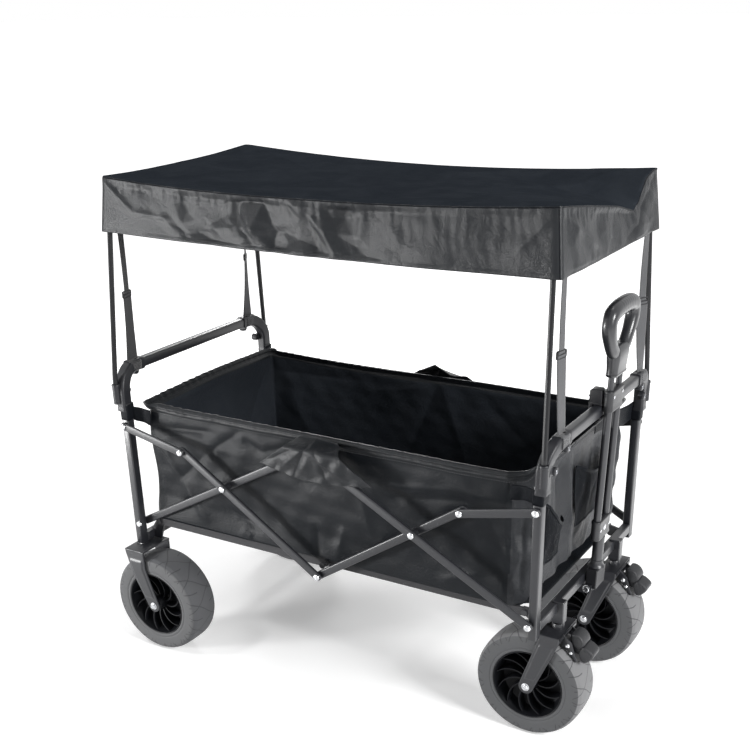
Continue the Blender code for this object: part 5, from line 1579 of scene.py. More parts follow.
@dataclass(frozen=True)
class Pocket:
    """One netting pocket on the front panel."""

    name: str
    low_y: float
    high_y: float
    top_low: float
    top_high: float
    foot: float
    pinch: float


@dataclass
class Basket:
    """The cloth basket: walls with a rolled rim, floor, flaps, pockets and corner straps.

    Each gusset line goes from where a front corner's cut starts on the side to where it ends
    on the front.
    """

    rear: float = -0.4150
    front: float = 0.4310
    side_y: float = 0.2140
    floor_half: float = 0.2100
    floor_z: float = 0.2802
    shoulder: float = 0.5150
    rim_z: float = 0.5290
    front_rise: float = 0.0230
    cloth: float = 0.0012
    corner: float = 0.012
    columns: int = 760
    rise_rows: int = 64
    roll_rows: int = 16
    gusset: tuple[tuple[float, float], tuple[float, float]] = ((0.380, 0.214), (0.431, 0.176))
    pockets: tuple[Pocket, ...] = (
        Pocket("near", -0.182, -0.108, 0.474, 0.420, 0.356, 0.24),
        Pocket("far", -0.048, 0.080, 0.492, 0.482, 0.372, 0.22))

    def build(self) -> None:
        """Make the basket's cloth pieces."""
        self.make_walls()
        self.make_floor()
        for side in Side:
            self.make_flap(side)
            for end in End:
                self.make_corner_strap(end, side)
        for pocket in self.pockets:
            self.make_pocket(pocket)
        self.make_front_band()

    def perimeter(self) -> tuple[Grid, Grid, Grid, Grid]:
        """Points round the basket from the front middle over the far side, corners cut in front.

        Returns:
            X, y, the outward normal and the distance run, for each point.
        """
        half = ((self.front - self.rear) / 2, self.side_y)
        middle = (self.front + self.rear) / 2
        dense = round_box(half, self.corner, 24)
        dense = np.vstack([dense, dense[:1]])
        spread = np.linspace(0.0, len(dense) - 1.0, 4000)
        dense = np.column_stack([np.interp(spread, np.arange(len(dense)), c) for c in dense.T])
        (start_x, start_y), (end_x, end_y) = self.gusset
        across = np.array([start_y - end_y, end_x - start_x])
        across /= np.linalg.norm(across)
        over = np.maximum((dense[:, 0] + middle - start_x) * across[0]
                          + (np.abs(dense[:, 1]) - start_y) * across[1], 0.0)
        dense[:, 0] -= over * across[0]
        dense[:, 1] -= np.sign(dense[:, 1]) * over * across[1]
        run = run_along(dense)
        spaced = np.linspace(0.0, run[-1], self.columns, endpoint=False)
        x = np.interp(spaced, run, dense[:, 0])
        y = np.interp(spaced, run, dense[:, 1])
        normal = outline_normals(stacked(x, y))
        normal /= np.linalg.norm(normal, axis=1, keepdims=True)
        return x + middle, y, normal, spaced

    def make_walls(self) -> None:
        """The walls: the basket's outline carried up, pushed in and out along its normal.

        Rows run from the floor up the wall to a crease, out and up over a flattened roll, and
        down inside it. The push is a sum of folds and slow waves, and stays inside the folding
        bars on the long sides.
        """
        x, y, normal, run = self.perimeter()
        is_front = smooth_step(self.front - 0.030, self.front - 0.004, x)
        is_rear = 1.0 - smooth_step(self.rear + 0.004, self.rear + 0.030, x)
        is_side = (1.0 - is_front) * (1.0 - is_rear)
        rise = np.concatenate([np.linspace(0.0, 1.0, self.rise_rows),
                               np.ones(self.roll_rows)])[:, None]
        roll = np.concatenate([np.zeros(self.rise_rows),
                               np.linspace(0.0, 1.0, self.roll_rows + 1)[1:]])[:, None]
        low = self.floor_z + 0.034 * is_front
        lift = self.front_rise * is_front + self.sway(x, y)
        high = self.shoulder + lift
        z = low + (high - low) * rise
        push = self.folds(x, y, z, is_side, is_front, is_rear)
        push = push + (np.minimum(push, 0.0012) - push) * is_side
        tight = waves(run, np.zeros_like(run), 0.017, 11, 9) * (
            0.35 + 0.65 * smooth_step(0.10, -0.38, x))
        puckers = 1.0 + 0.20 * tight
        angle = math.pi * (0.05 + 1.45 * roll)
        out = np.where(roll > 0, 0.0042 * (1.0 - np.cos(angle)) * puckers + 0.0008, 0.0)
        out = np.where(roll > 0.62, out * (1.0 - (roll - 0.62) * 1.4), out)
        up = np.where(roll > 0, 0.0068 * (np.sin(angle - math.pi / 2) + 1.0), 0.0)
        band = smooth_step(0.90, 1.0, rise) * (roll <= 0)
        out = out * (1.0 - 2.0 * is_side)
        out = out + push * (1.0 - 0.7 * smooth_step(0.0, 0.3, roll)) - 0.0016 * band
        points = stacked(x + normal[:, 0] * out, y + normal[:, 1] * out, z + up)
        shape = Shape().grid(points, wrap_columns=True, uv=stacked(run, z + up))
        middle_x = points.reshape(-1, 3)[np.array(shape.faces)][:, :, 0].mean(1)
        row = np.repeat(np.arange(points.shape[0] - 1), points.shape[1])
        rim_row = self.rise_rows - 2
        look = np.where(middle_x > self.gusset[0][0], 1, 0)
        shape.looks = np.where(row >= rim_row, 2, look).tolist()
        # The long and rear walls take the copy of the fabric painted dark as shade, the front panel and
        # gussets the copy painted light, and the inside the lining painted light.
        piece = add_cloth("basket_walls", shape, (SHADED_SIDE_CLOTH, LIT_END_CLOTH, RIM_CLOTH), "rear_frame",
                          self.cloth, ["basket"], Cart.folded_share,
                          lining=(LIT_LINING, LIT_LINING, RIM_CLOTH))
        away = np.column_stack([normal, np.zeros(len(normal))])
        line = np.vstack([points[rim_row], points[rim_row, :1]])
        add_piece("basket_rim_stitches", stitches(line, np.vstack([away, away[:1]])), THREAD,
                  "rear_frame", folds=Cart.folded_share)

    def sway(self, x: Grid, y: Grid) -> Grid:
        """How the rim rises and sags round the basket, none of it at the corners."""
        free = 1.0 - smooth_step(0.30, 0.40, np.abs(x))
        far = smooth_step(0.0, 0.2, y)
        return (-0.0015 * free + 0.0018 * far * np.sin(x * 9.0) * free
                + 0.0050 * (x < 0) * smooth_step(0.39, 0.41, -x) * np.cos(y * math.pi / 0.428))

    def folds(self, x: Grid, y: Grid, z: Grid, side: Grid, front: Grid, rear: Grid) -> Grid:
        """How far the walls stand in or out of their plane, as a sum of folds.

        Args:
            x: Place along the cart.
            y: Place across it.
            z: Height.
            side: 1 on the long sides, 0 elsewhere.
            front: 1 on the front wall.
            rear: 1 on the rear wall.

        Returns:
            The push along the outward normal.
        """
        height = (z - self.floor_z) / 0.25
        loose = smooth_step(0.0, 0.22, height) * (1.0 - smooth_step(0.90, 1.02, height))
        near = 1.0 - smooth_step(-0.1, 0.1, y)
        push = side * loose * (-0.0046 + 0.0026 * waves(x, z, 0.22, 21)
                               + 0.0010 * waves(x, z * 1.4, 0.060, 22))
        push = push + side * near * creases(x, z, NEAR_WALL_FOLDS)
        push = push + side * (1.0 - near) * creases(x, z, FAR_WALL_FOLDS)
        panel = (0.0030 * np.sin(y * 78.0 + 7.0 * (z - 0.4)) + 0.0026 * waves(y * 2.0, z, 0.13, 31)
                 + creases(y, z, FRONT_WALL_FOLDS)
                 - 0.0040 * np.abs(facets(y, z, 0.030, 32)) * smooth_step(0.42, 0.33, z))
        push = push + front * loose * (panel - 0.0045)
        cut_x = self.gusset[0][0]
        gather = smooth_step(cut_x - 0.004, cut_x + 0.008, x)
        gather = gather * (np.abs(y) > 0.16) * loose
        push = push + gather * (0.0040 * facets(x - y, z, 0.034, 34)
                                + 0.0034 * waves(x - y, z * 0.5, 0.024, 35)
                                + crease(x, z, (0.404, 0.470), (0.399, 0.300), 0.0035, -0.0060))
        return push + rear * loose * (0.0030 * waves(y, z, 0.15, 41) - 0.004
                                      + creases(y, z, REAR_WALL_FOLDS))

    def make_floor(self) -> None:
        """The floor cloth in two halves, each laid over the base half that it rises with."""
        for end in End:
            reach = self.front - 0.006 if end is End.FRONT else -self.rear - 0.002
            x = end.value * np.linspace(0.0006, reach, 90)[None, :]
            (start_x, start_y), (end_x, end_y) = self.gusset
            half = start_y - 0.004 - np.maximum(x - start_x, 0.0) * (start_y - end_y) / (
                end_x - start_x)
            y = np.linspace(-1.0, 1.0, 60)[:, None] * np.minimum(half, self.floor_half)
            seam = np.exp(-((np.abs(x) - 0.092) / 0.004) ** 2)
            bare = 1.0 - smooth_step(0.002, 0.026, self.floor_half - np.abs(y))
            z = (self.floor_z + 0.0010 + 0.0007 * np.abs(waves(x, y, 0.09, 51)) - 0.0006 * seam
                 + 0.0006 * np.abs(facets(x, y, 0.05, 52)) * (1.0 - bare))
            points = stacked(x, y, z)
            shape = Shape().grid(points, uv=points[..., :2], flip=end is End.REAR)
            # The floor takes the copy of the fabric painted dark as shade.
            piece = add_cloth("basket_floor_%s_cloth" % end.word, shape, SHADED_SIDE_CLOTH,
                              "base_half_%s" % end.word, self.cloth, sharp=40.0)

    def make_flap(self, side: Side) -> None:
        """The pointed flap that hangs from the rim over the middle of the folding bars.

        Rows run from the rim to the lower edge, and each row spreads from a narrow top to the
        edge's two points. The cloth steps out over the bars' joint within its first third.
        """
        edge = ([(-0.109, 0.4725), (-0.060, 0.4630), (-0.023, 0.4562), (0.010, 0.4560),
                 (0.050, 0.4585), (0.094, 0.4645), (0.134, 0.4695)] if side is Side.NEAR else
                [(-0.104, 0.4850), (-0.040, 0.4640), (0.000, 0.4600), (0.050, 0.4640),
                 (0.100, 0.4780), (0.120, 0.4900)])
        u = np.linspace(0.0, 1.0, 110)
        low_x = edge[0][0] + (edge[-1][0] - edge[0][0]) * u
        low_z = ease(edge, low_x)
        peak = 0.0060 if side is Side.NEAR else 0.0175
        top_x = -0.034 + 0.080 * u
        top_z = self.rim_z - 0.001 + peak * np.maximum(0.0, 1.0 - np.abs(top_x - 0.004) / 0.036)
        v = np.linspace(0.0, 1.0, 46)[:, None]
        x = top_x + (low_x - top_x) * v
        z = top_z + (low_z - top_z) * v
        over = smooth_step(0.0, 0.27, v) * (1.0 - 0.12 * smooth_step(0.35, 1.0, v))
        tip = np.abs(u - 0.46) / 0.54
        out = 0.2235 + 0.0362 * over * (1.0 - 0.12 * tip ** 2)
        out = out + (0.0012 * waves(x, z, 0.030, 61) - 0.0026 * np.abs(facets(x, z, 0.027, 62))
                     * (1.0 - 0.7 * smooth_step(-0.010, 0.025, x))) * smooth_step(0.1, 0.5, v)
        out = out + creases(x, z, FLAP_FOLDS) * smooth_step(0.0, 0.3, v)
        y = side.value * np.clip(out, 0.2235, 0.2618)
        points = stacked(x, y, z)
        shape = Shape().grid(points, uv=stacked(x, z), flip=side is Side.FAR)
        piece = add_cloth("basket_flap_%s" % side.word, shape, HEM_CLOTH, "rear_frame", self.cloth,
                          folds=Cart.folded_share)
        row = points[-4]
        away = np.tile((0.0, float(side.value), 0.0), (len(row), 1))
        add_piece("basket_flap_stitches_%s" % side.word, stitches(row + away * 0.0002, away),
                  THREAD, "rear_frame", folds=Cart.folded_share)

    def make_corner_strap(self, end: End, side: Side) -> None:
        """The black wrap round a post, with its tab to the basket's corner."""
        low, high = (0.4975, 0.5290) if end is End.REAR else (0.4965, 0.5240)
        section = round_box((Cart.post_depth / 2 + 0.0022, Cart.post_width / 2 + 0.0013), 0.0035, 5)
        middle_x = end.value * Cart.post_x
        x = middle_x + section[:, 0]
        y = side.value * (Cart.post_y - 0.0010) + section[:, 1]
        v = np.linspace(0.0, 1.0, 9)[:, None]
        swell = 1.0 + 0.02 * np.sin(v * math.pi)
        z = low + (high - low) * v + 0.0008 * np.sin(5.0 * np.arange(len(x)) / len(x))
        points = stacked(middle_x + (x - middle_x) * swell, y, z)
        uv = stacked(np.linspace(0.0, 0.075, len(x)), z)
        name = "corner_strap_%s_%s" % (end.word, side.word)
        add_cloth(name, Shape().grid(points, wrap_columns=True, uv=uv), TRIM_CLOTH, end.body,
                  0.0010)
        start = (end.value * (Cart.post_x - 0.0080), side.value * (Cart.post_y - 0.0060))
        stop = ((-0.3960, side.value * 0.2215) if end is End.REAR else
                (0.3830, side.value * 0.2155))
        t = np.linspace(0.0, 1.0, 24)[None, :]
        x = start[0] + (stop[0] - start[0]) * t
        y = start[1] + (stop[1] - start[1]) * smooth_step(0.0, 0.7, t)
        z = (low - 0.002 - 0.010 * t) + (high - low - 0.004 + 0.004 * t) * v
        y = y + side.value * 0.0008 * np.sin(t * 9.0 + v * 2.0)
        add_cloth(name + "_tab", Shape().grid(stacked(x, y, z), uv=stacked(x, z)), TRIM_CLOTH,
                  end.body, 0.0016)

    def make_pocket(self, pocket: Pocket) -> None:
        """A netting pocket that gapes at its top, with a tape round its edge.

        Columns run across the pocket and rows up it. The top edge stands off the panel and sags,
        and the sides pinch in above the foot.
        """
        low_y, high_y, foot = pocket.low_y, pocket.high_y, pocket.foot
        u = np.linspace(0.0, 1.0, 60)[None, :]
        v = np.linspace(0.0, 1.0, 44)[:, None]
        waist = 1.0 - pocket.pinch * (1.0 - smooth_step(0.0, 0.75, v))
        middle = low_y + (high_y - low_y) * 0.42
        y = middle + (low_y - middle + (high_y - low_y) * u) * waist
        sag = 0.020 * np.sin(u * math.pi) ** 1.3 * smooth_step(0.4, 1.0, v)
        z = foot + (pocket.top_low + (pocket.top_high - pocket.top_low) * u - foot) * v - sag
        bulge = np.sin(u * math.pi) ** 0.85 * (0.15 + 0.85 * smooth_step(0.0, 1.0, v))
        x = self.front + 0.0010 + 0.0150 * bulge + 0.0010 * waves(y, z, 0.03, 91)
        x = x + creases(u, v, POCKET_FOLDS) * np.sin(u * math.pi)
        (start_x, start_y), (end_x, end_y) = self.gusset
        x = x - np.maximum(np.abs(y) - end_y, 0.0) * (end_x - start_x) / (start_y - end_y)
        points = stacked(x, y, z)
        piece = add_cloth("bottle_pocket_%s" % pocket.name, Shape().grid(points, uv=stacked(y, z)),
                          NETTING, "rear_frame", 0.0006, folds=Cart.folded_share)
        outward = (1.0, 0.0, 0.0)
        tape = sweep(points[-1], round_box((0.0030, 0.0011), 0.0009, 2), outward)
        edge = np.concatenate([points[::-1, 0], points[0, 1:], points[1:, -1]])
        tape.join(sweep(edge, round_box((0.0016, 0.0008), 0.0006, 2), outward))
        add_piece("bottle_pocket_binding_%s" % pocket.name, tape, TRIM_CLOTH,
                  "rear_frame", folds=Cart.folded_share)

    def make_front_band(self) -> None:
        """The black band along the top of the front panel, wider towards the far post."""
        u = np.linspace(0.0, 1.0, 60)[None, :]
        v = np.linspace(0.0, 1.0, 14)[:, None]
        y = 0.020 + 0.206 * u
        high = 0.552 - 0.020 * smooth_step(0.0, 1.0, u)
        low = 0.533 - 0.036 * smooth_step(0.0, 0.9, u)
        z = low + (high - low) * v
        x = (self.front + 0.0062 + 0.0010 * waves(y, z, 0.05, 95)
             + 0.0012 * np.sin(u * 5.0 + v * 2.0))
        shape = Shape().grid(stacked(x, y, z), uv=stacked(y, z))
        piece = add_cloth("front_panel_band", shape, TRIM_CLOTH, "rear_frame", 0.0014,
                          folds=Cart.folded_share)


@dataclass
class Canopy:
    """The canopy: one sheet over four poles, with a hanging hem, and its straps."""

    top_z: float = 0.9665
    front_sag: tuple[tuple[float, float], ...] = (
        (-0.220, 0.000), (-0.110, 0.015), (0.030, 0.037), (0.100, 0.054), (0.124, 0.044),
        (0.158, 0.009), (0.190, 0.001), (0.220, 0.000))
    hem_z: float = 0.8610
    top_x: float = 0.4490
    top_y: float = 0.2210
    hem_x: float = 0.4595
    hem_y: float = 0.2300
    columns: int = 700
    hem_rows: int = 44
    strap_y: float = 0.190
    strap_top: float = 0.892
    strap_foot: float = 0.6062

    def build(self) -> None:
        """Make the sheet and the straps."""
        self.make_sheet()
        self.make_straps()

    def make_sheet(self) -> None:
        """One sheet: rounded rectangles that grow from the middle to the edge, then hang.

        Its height over the top falls with the distance from the four corners, and streaks and
        folds that run from the corners are added. The hem's push is puckers below the seam, and
        facets that grow towards its lower edge. A cord lies in the seam, a thinner cord runs down
        each corner, and a row of stitches goes round near the lower edge.
        """
        spaced = np.linspace(0.0, 1.0, self.columns, endpoint=False)
        dense = round_box((1.0, 1.0), 0.030, 10)
        dense = np.vstack([dense, dense[:1]])
        run = run_along(dense * (self.top_x, self.top_y))
        total = run[-1]
        a = np.interp(spaced * total, run, dense[:, 0])
        b = np.interp(spaced * total, run, dense[:, 1])
        inner = np.linspace(0.0, 1.0, 60)[1:, None] ** 0.75
        x = inner * a * self.top_x
        y = inner * b * self.top_y
        z = self.top_height(x, y)
        fall = np.linspace(0.0, 1.0, self.hem_rows + 1)[1:, None]
        edge_z = z[-1]
        hem = self.hem_z - 0.0060 * (1.0 - a ** 2) - 0.002 * (1.0 - b ** 2)
        hang_x = (self.top_x + (self.hem_x - self.top_x) * fall) * a
        hang_y = (self.top_y + (self.hem_y - self.top_y) * fall) * b
        hang_z = edge_z + (hem - edge_z) * fall
        arc_run = spaced * total * np.ones_like(fall)
        push = self.hem_push(arc_run, hang_z, fall, a, b)
        normal = outline_normals(stacked(a * self.top_x, b * self.top_y))
        normal /= np.linalg.norm(normal, axis=1, keepdims=True)
        hang = stacked(hang_x + push * normal[:, 0], hang_y + push * normal[:, 1], hang_z)
        first = np.zeros((1, self.columns, 3))
        first[..., 2] = self.top_height(np.zeros(1), np.zeros(1))[0]
        points = np.concatenate([first, stacked(x, y, z), hang])
        uv = np.concatenate([np.zeros((1, self.columns, 2)), stacked(x, y),
                             stacked(arc_run, hang_z)])
        shape = Shape().grid(points, wrap_columns=True, uv=uv)
        row = np.repeat(np.arange(points.shape[0] - 1), self.columns)
        shape.looks = np.where(row >= len(inner), 1, 0).tolist()
        # The top takes the copy of the fabric painted light; the hem takes the hem copy.
        piece = add_cloth("canopy_sheet", shape, (LIT_TOP_CLOTH, HEM_CLOTH), "canopy_frame", 0.0010,
                          ["canopy"], Cart.canopy_share)
        merge_doubles(piece.data)
        away = np.column_stack([normal, np.zeros(self.columns)])
        seam = points[len(inner)] + away * 0.0008 - (0.0, 0.0, 0.0006)
        piping = sweep(seam[::2], circle(0.0013, 6), closed=True)
        add_piece("canopy_seam_piping", piping, TRIM_CLOTH, "canopy_frame",
                  folds=Cart.canopy_share)
        for sign_x, sign_y in ((1, 1), (-1, 1), (-1, -1), (1, -1)):
            column = int(np.argmax(sign_x * a + sign_y * b))
            line = points[len(inner):, column] + away[column] * 0.0006
            add_piece("canopy_corner_seam_%d%d" % (sign_x > 0, sign_y > 0),
                      sweep(line, circle(0.0010, 6), (0.6, 0.8, 0.0)), TRIM_CLOTH,
                      "canopy_frame", folds=Cart.canopy_share)
        loop = np.vstack([hang[-4], hang[-4, :1]])
        outward = np.vstack([away, away[:1]])
        add_piece("canopy_hem_stitches", stitches(loop + outward * 0.0002, outward), THREAD,
                  "canopy_frame", folds=Cart.canopy_share)

    def top_height(self, x: Grid, y: Grid) -> Grid:
        """Height of the top: corners held up, edges and middle sagging, with fine streaks."""
        u, v = np.abs(x / self.top_x), np.abs(y / self.top_y)
        edge_x = 0.018 * (1.0 - u ** 2) * v ** 2
        slack = ease(self.front_sag, y) * u ** 3
        front = np.where(x > 0, slack, 0.008 * (1.0 - v ** 2) * u ** 2)
        middle = 0.022 * (1.0 - u ** 2) * (1.0 - v ** 2)
        sag = edge_x + front + middle
        rear = smooth_step(0.2, -1.0, x / self.top_x)
        tilt = rear * np.where(y > 0, 0.0015, -0.0065) * v
        quiet = 1.0 - smooth_step(0.90, 1.0, np.maximum(u, v))
        streaks = 0.0005 * waves(x * 0.10, y, 0.018, 71) + 0.0008 * waves(x * 0.25, y, 0.055, 72)
        folds = creases(x, y, CANOPY_FOLDS)
        return self.top_z + tilt - sag + (streaks + folds) * quiet - 0.0012 * (1 - quiet)

    def hem_push(self, run: Grid, z: Grid, fall: Grid, a: Grid, b: Grid) -> Grid:
        """How far the hanging hem stands out of its plane.

        Long sides are crumpled in their middle, smooth towards the rear and pleated towards the
        front. The ends take softer diagonal folds.

        Args:
            run: Distance round the canopy.
            z: Height.
            fall: Share of the way from the seam to the lower edge.
            a: Place along the cart, from -1 to 1.
            b: Place across it, from -1 to 1.

        Returns:
            The push along the outward normal.
        """
        long_side = (np.abs(b) > 0.97).astype(float)
        x = a * self.top_x
        to_corner = np.minimum((1.0 - np.abs(a)) * self.top_x + (1.0 - np.abs(b)) * self.top_y, 0.3)
        free = smooth_step(0.0, 0.05, to_corner) * smooth_step(0.0, 0.16, fall)
        middle = smooth_step(-0.33, -0.16, x) * (1.0 - 0.80 * smooth_step(0.04, 0.22, x))
        calm = 1.0 - 0.65 * long_side * smooth_step(0.06, 0.24, x)
        share = long_side * (0.16 + 0.84 * middle) + (1.0 - long_side) * 0.40
        crumple = share * (0.0112 * facets(run, z, 0.054, 83)
                           + 0.0050 * facets(run + 0.4 * z, z, 0.029, 84))
        pleats = (0.0008 * np.sin(run * 2 * math.pi / 0.021 + 2.0 * waves(run, z, 0.09, 86))
                  * smooth_step(0.05, 0.25, x) * long_side * (1.0 - 0.7 * fall))
        pucker = 0.0014 * waves(run, z * 0.2, 0.016, 81) * (1.0 - smooth_step(0.05, 0.45, fall))
        still = smooth_step(0.0, 0.03, to_corner)
        swell = 0.0030 * waves(run, z * 0.4, 0.20, 85) * fall
        flat_hem = 1.0 - 0.6 * smooth_step(0.92, 0.96, fall)
        folds = (long_side * creases(x, fall * 0.1, HEM_SIDE_FOLDS)
                 + (1.0 - long_side) * creases(b * self.top_y, fall * 0.1, HEM_END_FOLDS))
        return ((pucker + pleats) * still * calm + (crumple * calm + swell) * free * flat_hem
                + folds - 0.0030 * free)

    def make_straps(self) -> None:
        """Straps from the hem to the rails, a slider on each, and a band about each rail."""
        for end in End:
            for side in Side:
                dark = end is End.REAR and side is Side.NEAR
                web = DARK_STRAP if dark else STRAP
                y = side.value * self.strap_y
                self.make_strap(end, side, y, web)
                self.make_band(end, side, y, web)

    def make_strap(self, end: End, side: Side, y: float, web: Finish) -> None:
        """One strap with its slider.

        The upper part is a narrow webbing. Below the slider it is doubled and wider, and turns
        a little about its own length.
        """
        v = np.linspace(0.0, 1.0, 80)[:, None]
        across = np.linspace(-0.5, 0.5, 9)[None, :]
        twist = 0.55 * np.sin(v * math.pi) * (0.6 + 0.3 * side.value) * end.value
        width = 0.0150 + 0.0110 * smooth_step(0.52, 0.56, v)
        width = width + 0.0030 * smooth_step(0.75, 1.0, v)
        lean_x = self.top_x + (Cart.rail_x - self.top_x) * v - 0.003 * np.sin(v * math.pi)
        x = end.value * lean_x + across * width * np.sin(twist)
        z = self.strap_top + (self.strap_foot - self.strap_top) * v
        points = stacked(x, y + across * width * np.cos(twist), z)
        name = "canopy_strap_%s_%s" % (end.word, side.word)
        shape = Shape().grid(points, uv=stacked(across * 0.026, z))
        piece = add_cloth(name, shape, web, "canopy_frame", 0.0014, folds=Cart.canopy_share)
        centre = points[43, 4]
        lean = points[43, -1] - points[43, 0]
        lean /= np.linalg.norm(lean)
        away = np.cross(lean, (0.0, 0.0, 1.0))
        path = [centre + lean * p + (0.0, 0.0, q) for p, q in round_box((0.0130, 0.0060), 0.003)]
        slider = sweep(path, round_box((0.0012, 0.0020), 0.0009, 2), away, closed=True)
        slider.join(sweep([centre - lean * 0.012, centre + lean * 0.012],
                          round_box((0.0014, 0.0022), 0.0009, 2), away))
        add_piece(name + "_slider", slider, BLACK_PLASTIC, "canopy_frame",
                  folds=Cart.canopy_share)

    def make_band(self, end: End, side: Side, y: float, web: Finish) -> None:
        """The webbing band round a rail, a little larger than the rail's section."""
        section = round_box((0.0098, 0.0108), 0.0046, 6)
        across = np.linspace(-0.0145, 0.0145, 7)
        x = end.value * Cart.rail_x + section[:, :1]
        z = Cart.rail_z + section[:, 1:]
        uv = stacked(across, run_along(section)[:, None])
        shape = Shape().grid(stacked(x, y + across, z), wrap_rows=True, uv=uv, flip=True)
        add_cloth("strap_band_%s_%s" % (end.word, side.word), shape, web, end.body, 0.0012)


@dataclass
class PullHandle:
    """The pull handle with its foot, clamps, twin tubes, collar and closed grip."""

    start: Point = (0.4640, 0.0, 0.2680)
    lean: float = math.radians(1.7)
    twin_y: float = 0.0205
    lower_clamp: tuple[float, float] = (0.079, 0.117)
    upper_clamp: tuple[float, float] = (0.326, 0.364)
    clamp_width: float = 0.062
    clamp_half: float = 0.0086
    button_drop: float = 0.008

    def build(self) -> None:
        """Make the pieces of the handle along its own leaning axis."""
        dress("handle_foot", BLACK_PLASTIC)
        self.line = at(*self.start) @ Matrix.Rotation(self.lean, 4, "Y")
        self.make_tubes()
        self.make_clamp("handle_lower_clamp", *self.lower_clamp, True)
        self.make_clamp("handle_upper_clamp", *self.upper_clamp, False)
        self.make_slide()
        self.make_foot()
        self.make_rail_clip()

    def make_foot(self) -> None:
        """The flared ring on the foot's block, with a slotted bolt through each side."""
        ring = lathe([(0.0108, 0.0150), (0.0150, 0.0152), (0.0158, 0.0166), (0.0150, 0.0190),
                      (0.0132, 0.0206), (0.0120, 0.0240), (0.0116, 0.0300), (0.0107, 0.0304)], 36,
                     axis="Z")
        add_piece("handle_foot_ring", ring.moved(self.line), FRAME_COAT, "handle")
        bolt = Shape()
        for hand in (-1, 1):
            profile = [(0.0076, 0.0), (0.0076, 0.0008), (0.0062, 0.0010), (0.0062, 0.0030),
                       (0.0050, 0.0040), (0.0030, 0.0040), (0.0026, 0.0030)]
            bolt.join(lathe([(r, hand * (0.0257 + h)) for r, h in profile], 24))
        add_piece("handle_foot_bolt", bolt.moved(at(0.4575, 0.0, 0.2450)), ZINC,
                  "front_frame")

    def make_rail_clip(self) -> None:
        """The saddle that holds the handle to the rail: a hook about the rail, and an upright."""
        outline = [(0.4405, 0.5795), (0.4650, 0.5795), (0.4650, 0.5835), (0.4470, 0.5835),
                   (0.4470, 0.6047), (0.4650, 0.6047), (0.4650, 0.6092), (0.4405, 0.6092)]
        shape = plate(outline, -0.0300, 0.0300, 0.0009, 3)
        tab = [(0.4410, 0.6060), (0.4640, 0.6060), (0.4640, 0.6290), (0.4600, 0.6328),
               (0.4450, 0.6328), (0.4410, 0.6290)]
        shape.join(plate(tab, -0.0295, -0.0105, 0.0016, 3))
        for z in (0.6120, 0.6200):
            shape.join(sweep([(0.4405, -0.0285, z), (0.4405, -0.0115, z)],
                             round_box((0.0007, 0.0012), 0.0006, 2)))
        add_piece("rail_clip_saddle", shape, BLACK_PLASTIC, "front_frame",
                  ["rail_clip"], sharp=50.0)

    def make_tubes(self) -> None:
        """The lower tube and the two upper tubes."""
        shape = lathe([(0.0105, 0.0164), (0.0105, 0.0786)], 32, axis="Z")
        add_piece("handle_lower_steel", shape.moved(self.line), FRAME_COAT, "handle",
                  ["handle_lower_tube"])
        for side in Side:
            tube = lathe([(0.0060, 0.1174), (0.0070, 0.1174), (0.0070, 0.3256),
                          (0.0060, 0.3256)], 28, axis="Z")
            move = self.line @ at(0.0, side.value * self.twin_y, 0.0)
            node = "handle_tube_%s" % side.word
            add_piece(node + "_steel", tube.moved(move), FRAME_COAT, "handle", [node])

    def make_clamp(self, node: str, low: float, high: float, button: bool) -> None:
        """A clamp: two rounded sleeves about the tubes, joined by a narrower web.

        Args:
            node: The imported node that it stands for.
            low: Where it starts along the handle.
            high: Where it ends.
            button: Whether it carries the release button.
        """
        half_width = self.clamp_width / 2
        section = round_box((half_width, self.clamp_half), 0.0084, 10)
        waist = 1.0 - 0.30 * np.exp(-(section[:, 0] / 0.0085) ** 4)
        along = np.concatenate([[0.0, 0.015, 0.045], np.linspace(0.09, 0.91, 9),
                                [0.955, 0.985, 1.0]])
        rings = []
        for t in along:
            edge = min(t, 1.0 - t) * (high - low)
            inset = 0.0010 * (1.0 - math.sqrt(1.0 - (1.0 - min(edge / 0.0014, 1.0)) ** 2))
            lip = 0.0007 * float(smooth_step(0.0050, 0.0038, np.array(edge)))
            swell = 1.0 + (lip - inset) / self.clamp_half
            rings.append(stacked(section[:, 1] * waist * swell,
                                 section[:, 0] * (1.0 + (lip - inset) / half_width),
                                 low + (high - low) * t))
        shape = Shape().grid(np.array(rings), wrap_columns=True).patch(rings[0]).patch(rings[-1])
        add_piece(node + "_shell", shape.moved(self.line), CLAMP_PLASTIC, "handle",
                  [node], sharp=50.0)
        middle = (low + high) / 2
        if button:
            head = lathe([(0.0060, 0.0055), (0.0060, 0.0078), (0.0050, 0.0090), (0.0020, 0.0096)],
                         20, axis="X")
            add_piece(node + "_button", head.moved(self.line @ at(0.0, 0.0, middle)),
                      ZINC, "handle")
        screws = Shape()
        for side in Side:
            screw = lathe([(0.0028, 0.0078), (0.0028, 0.0091), (0.0022, 0.0096), (0.0011, 0.0094),
                           (0.0009, 0.0088)], 16, axis="X")
            level = middle if button else middle + self.button_drop
            spot = at(0.0, side.value * self.twin_y, level)
            screws.join(screw.moved(self.line @ spot))
        add_piece(node + "_screws", screws, ZINC, "handle")

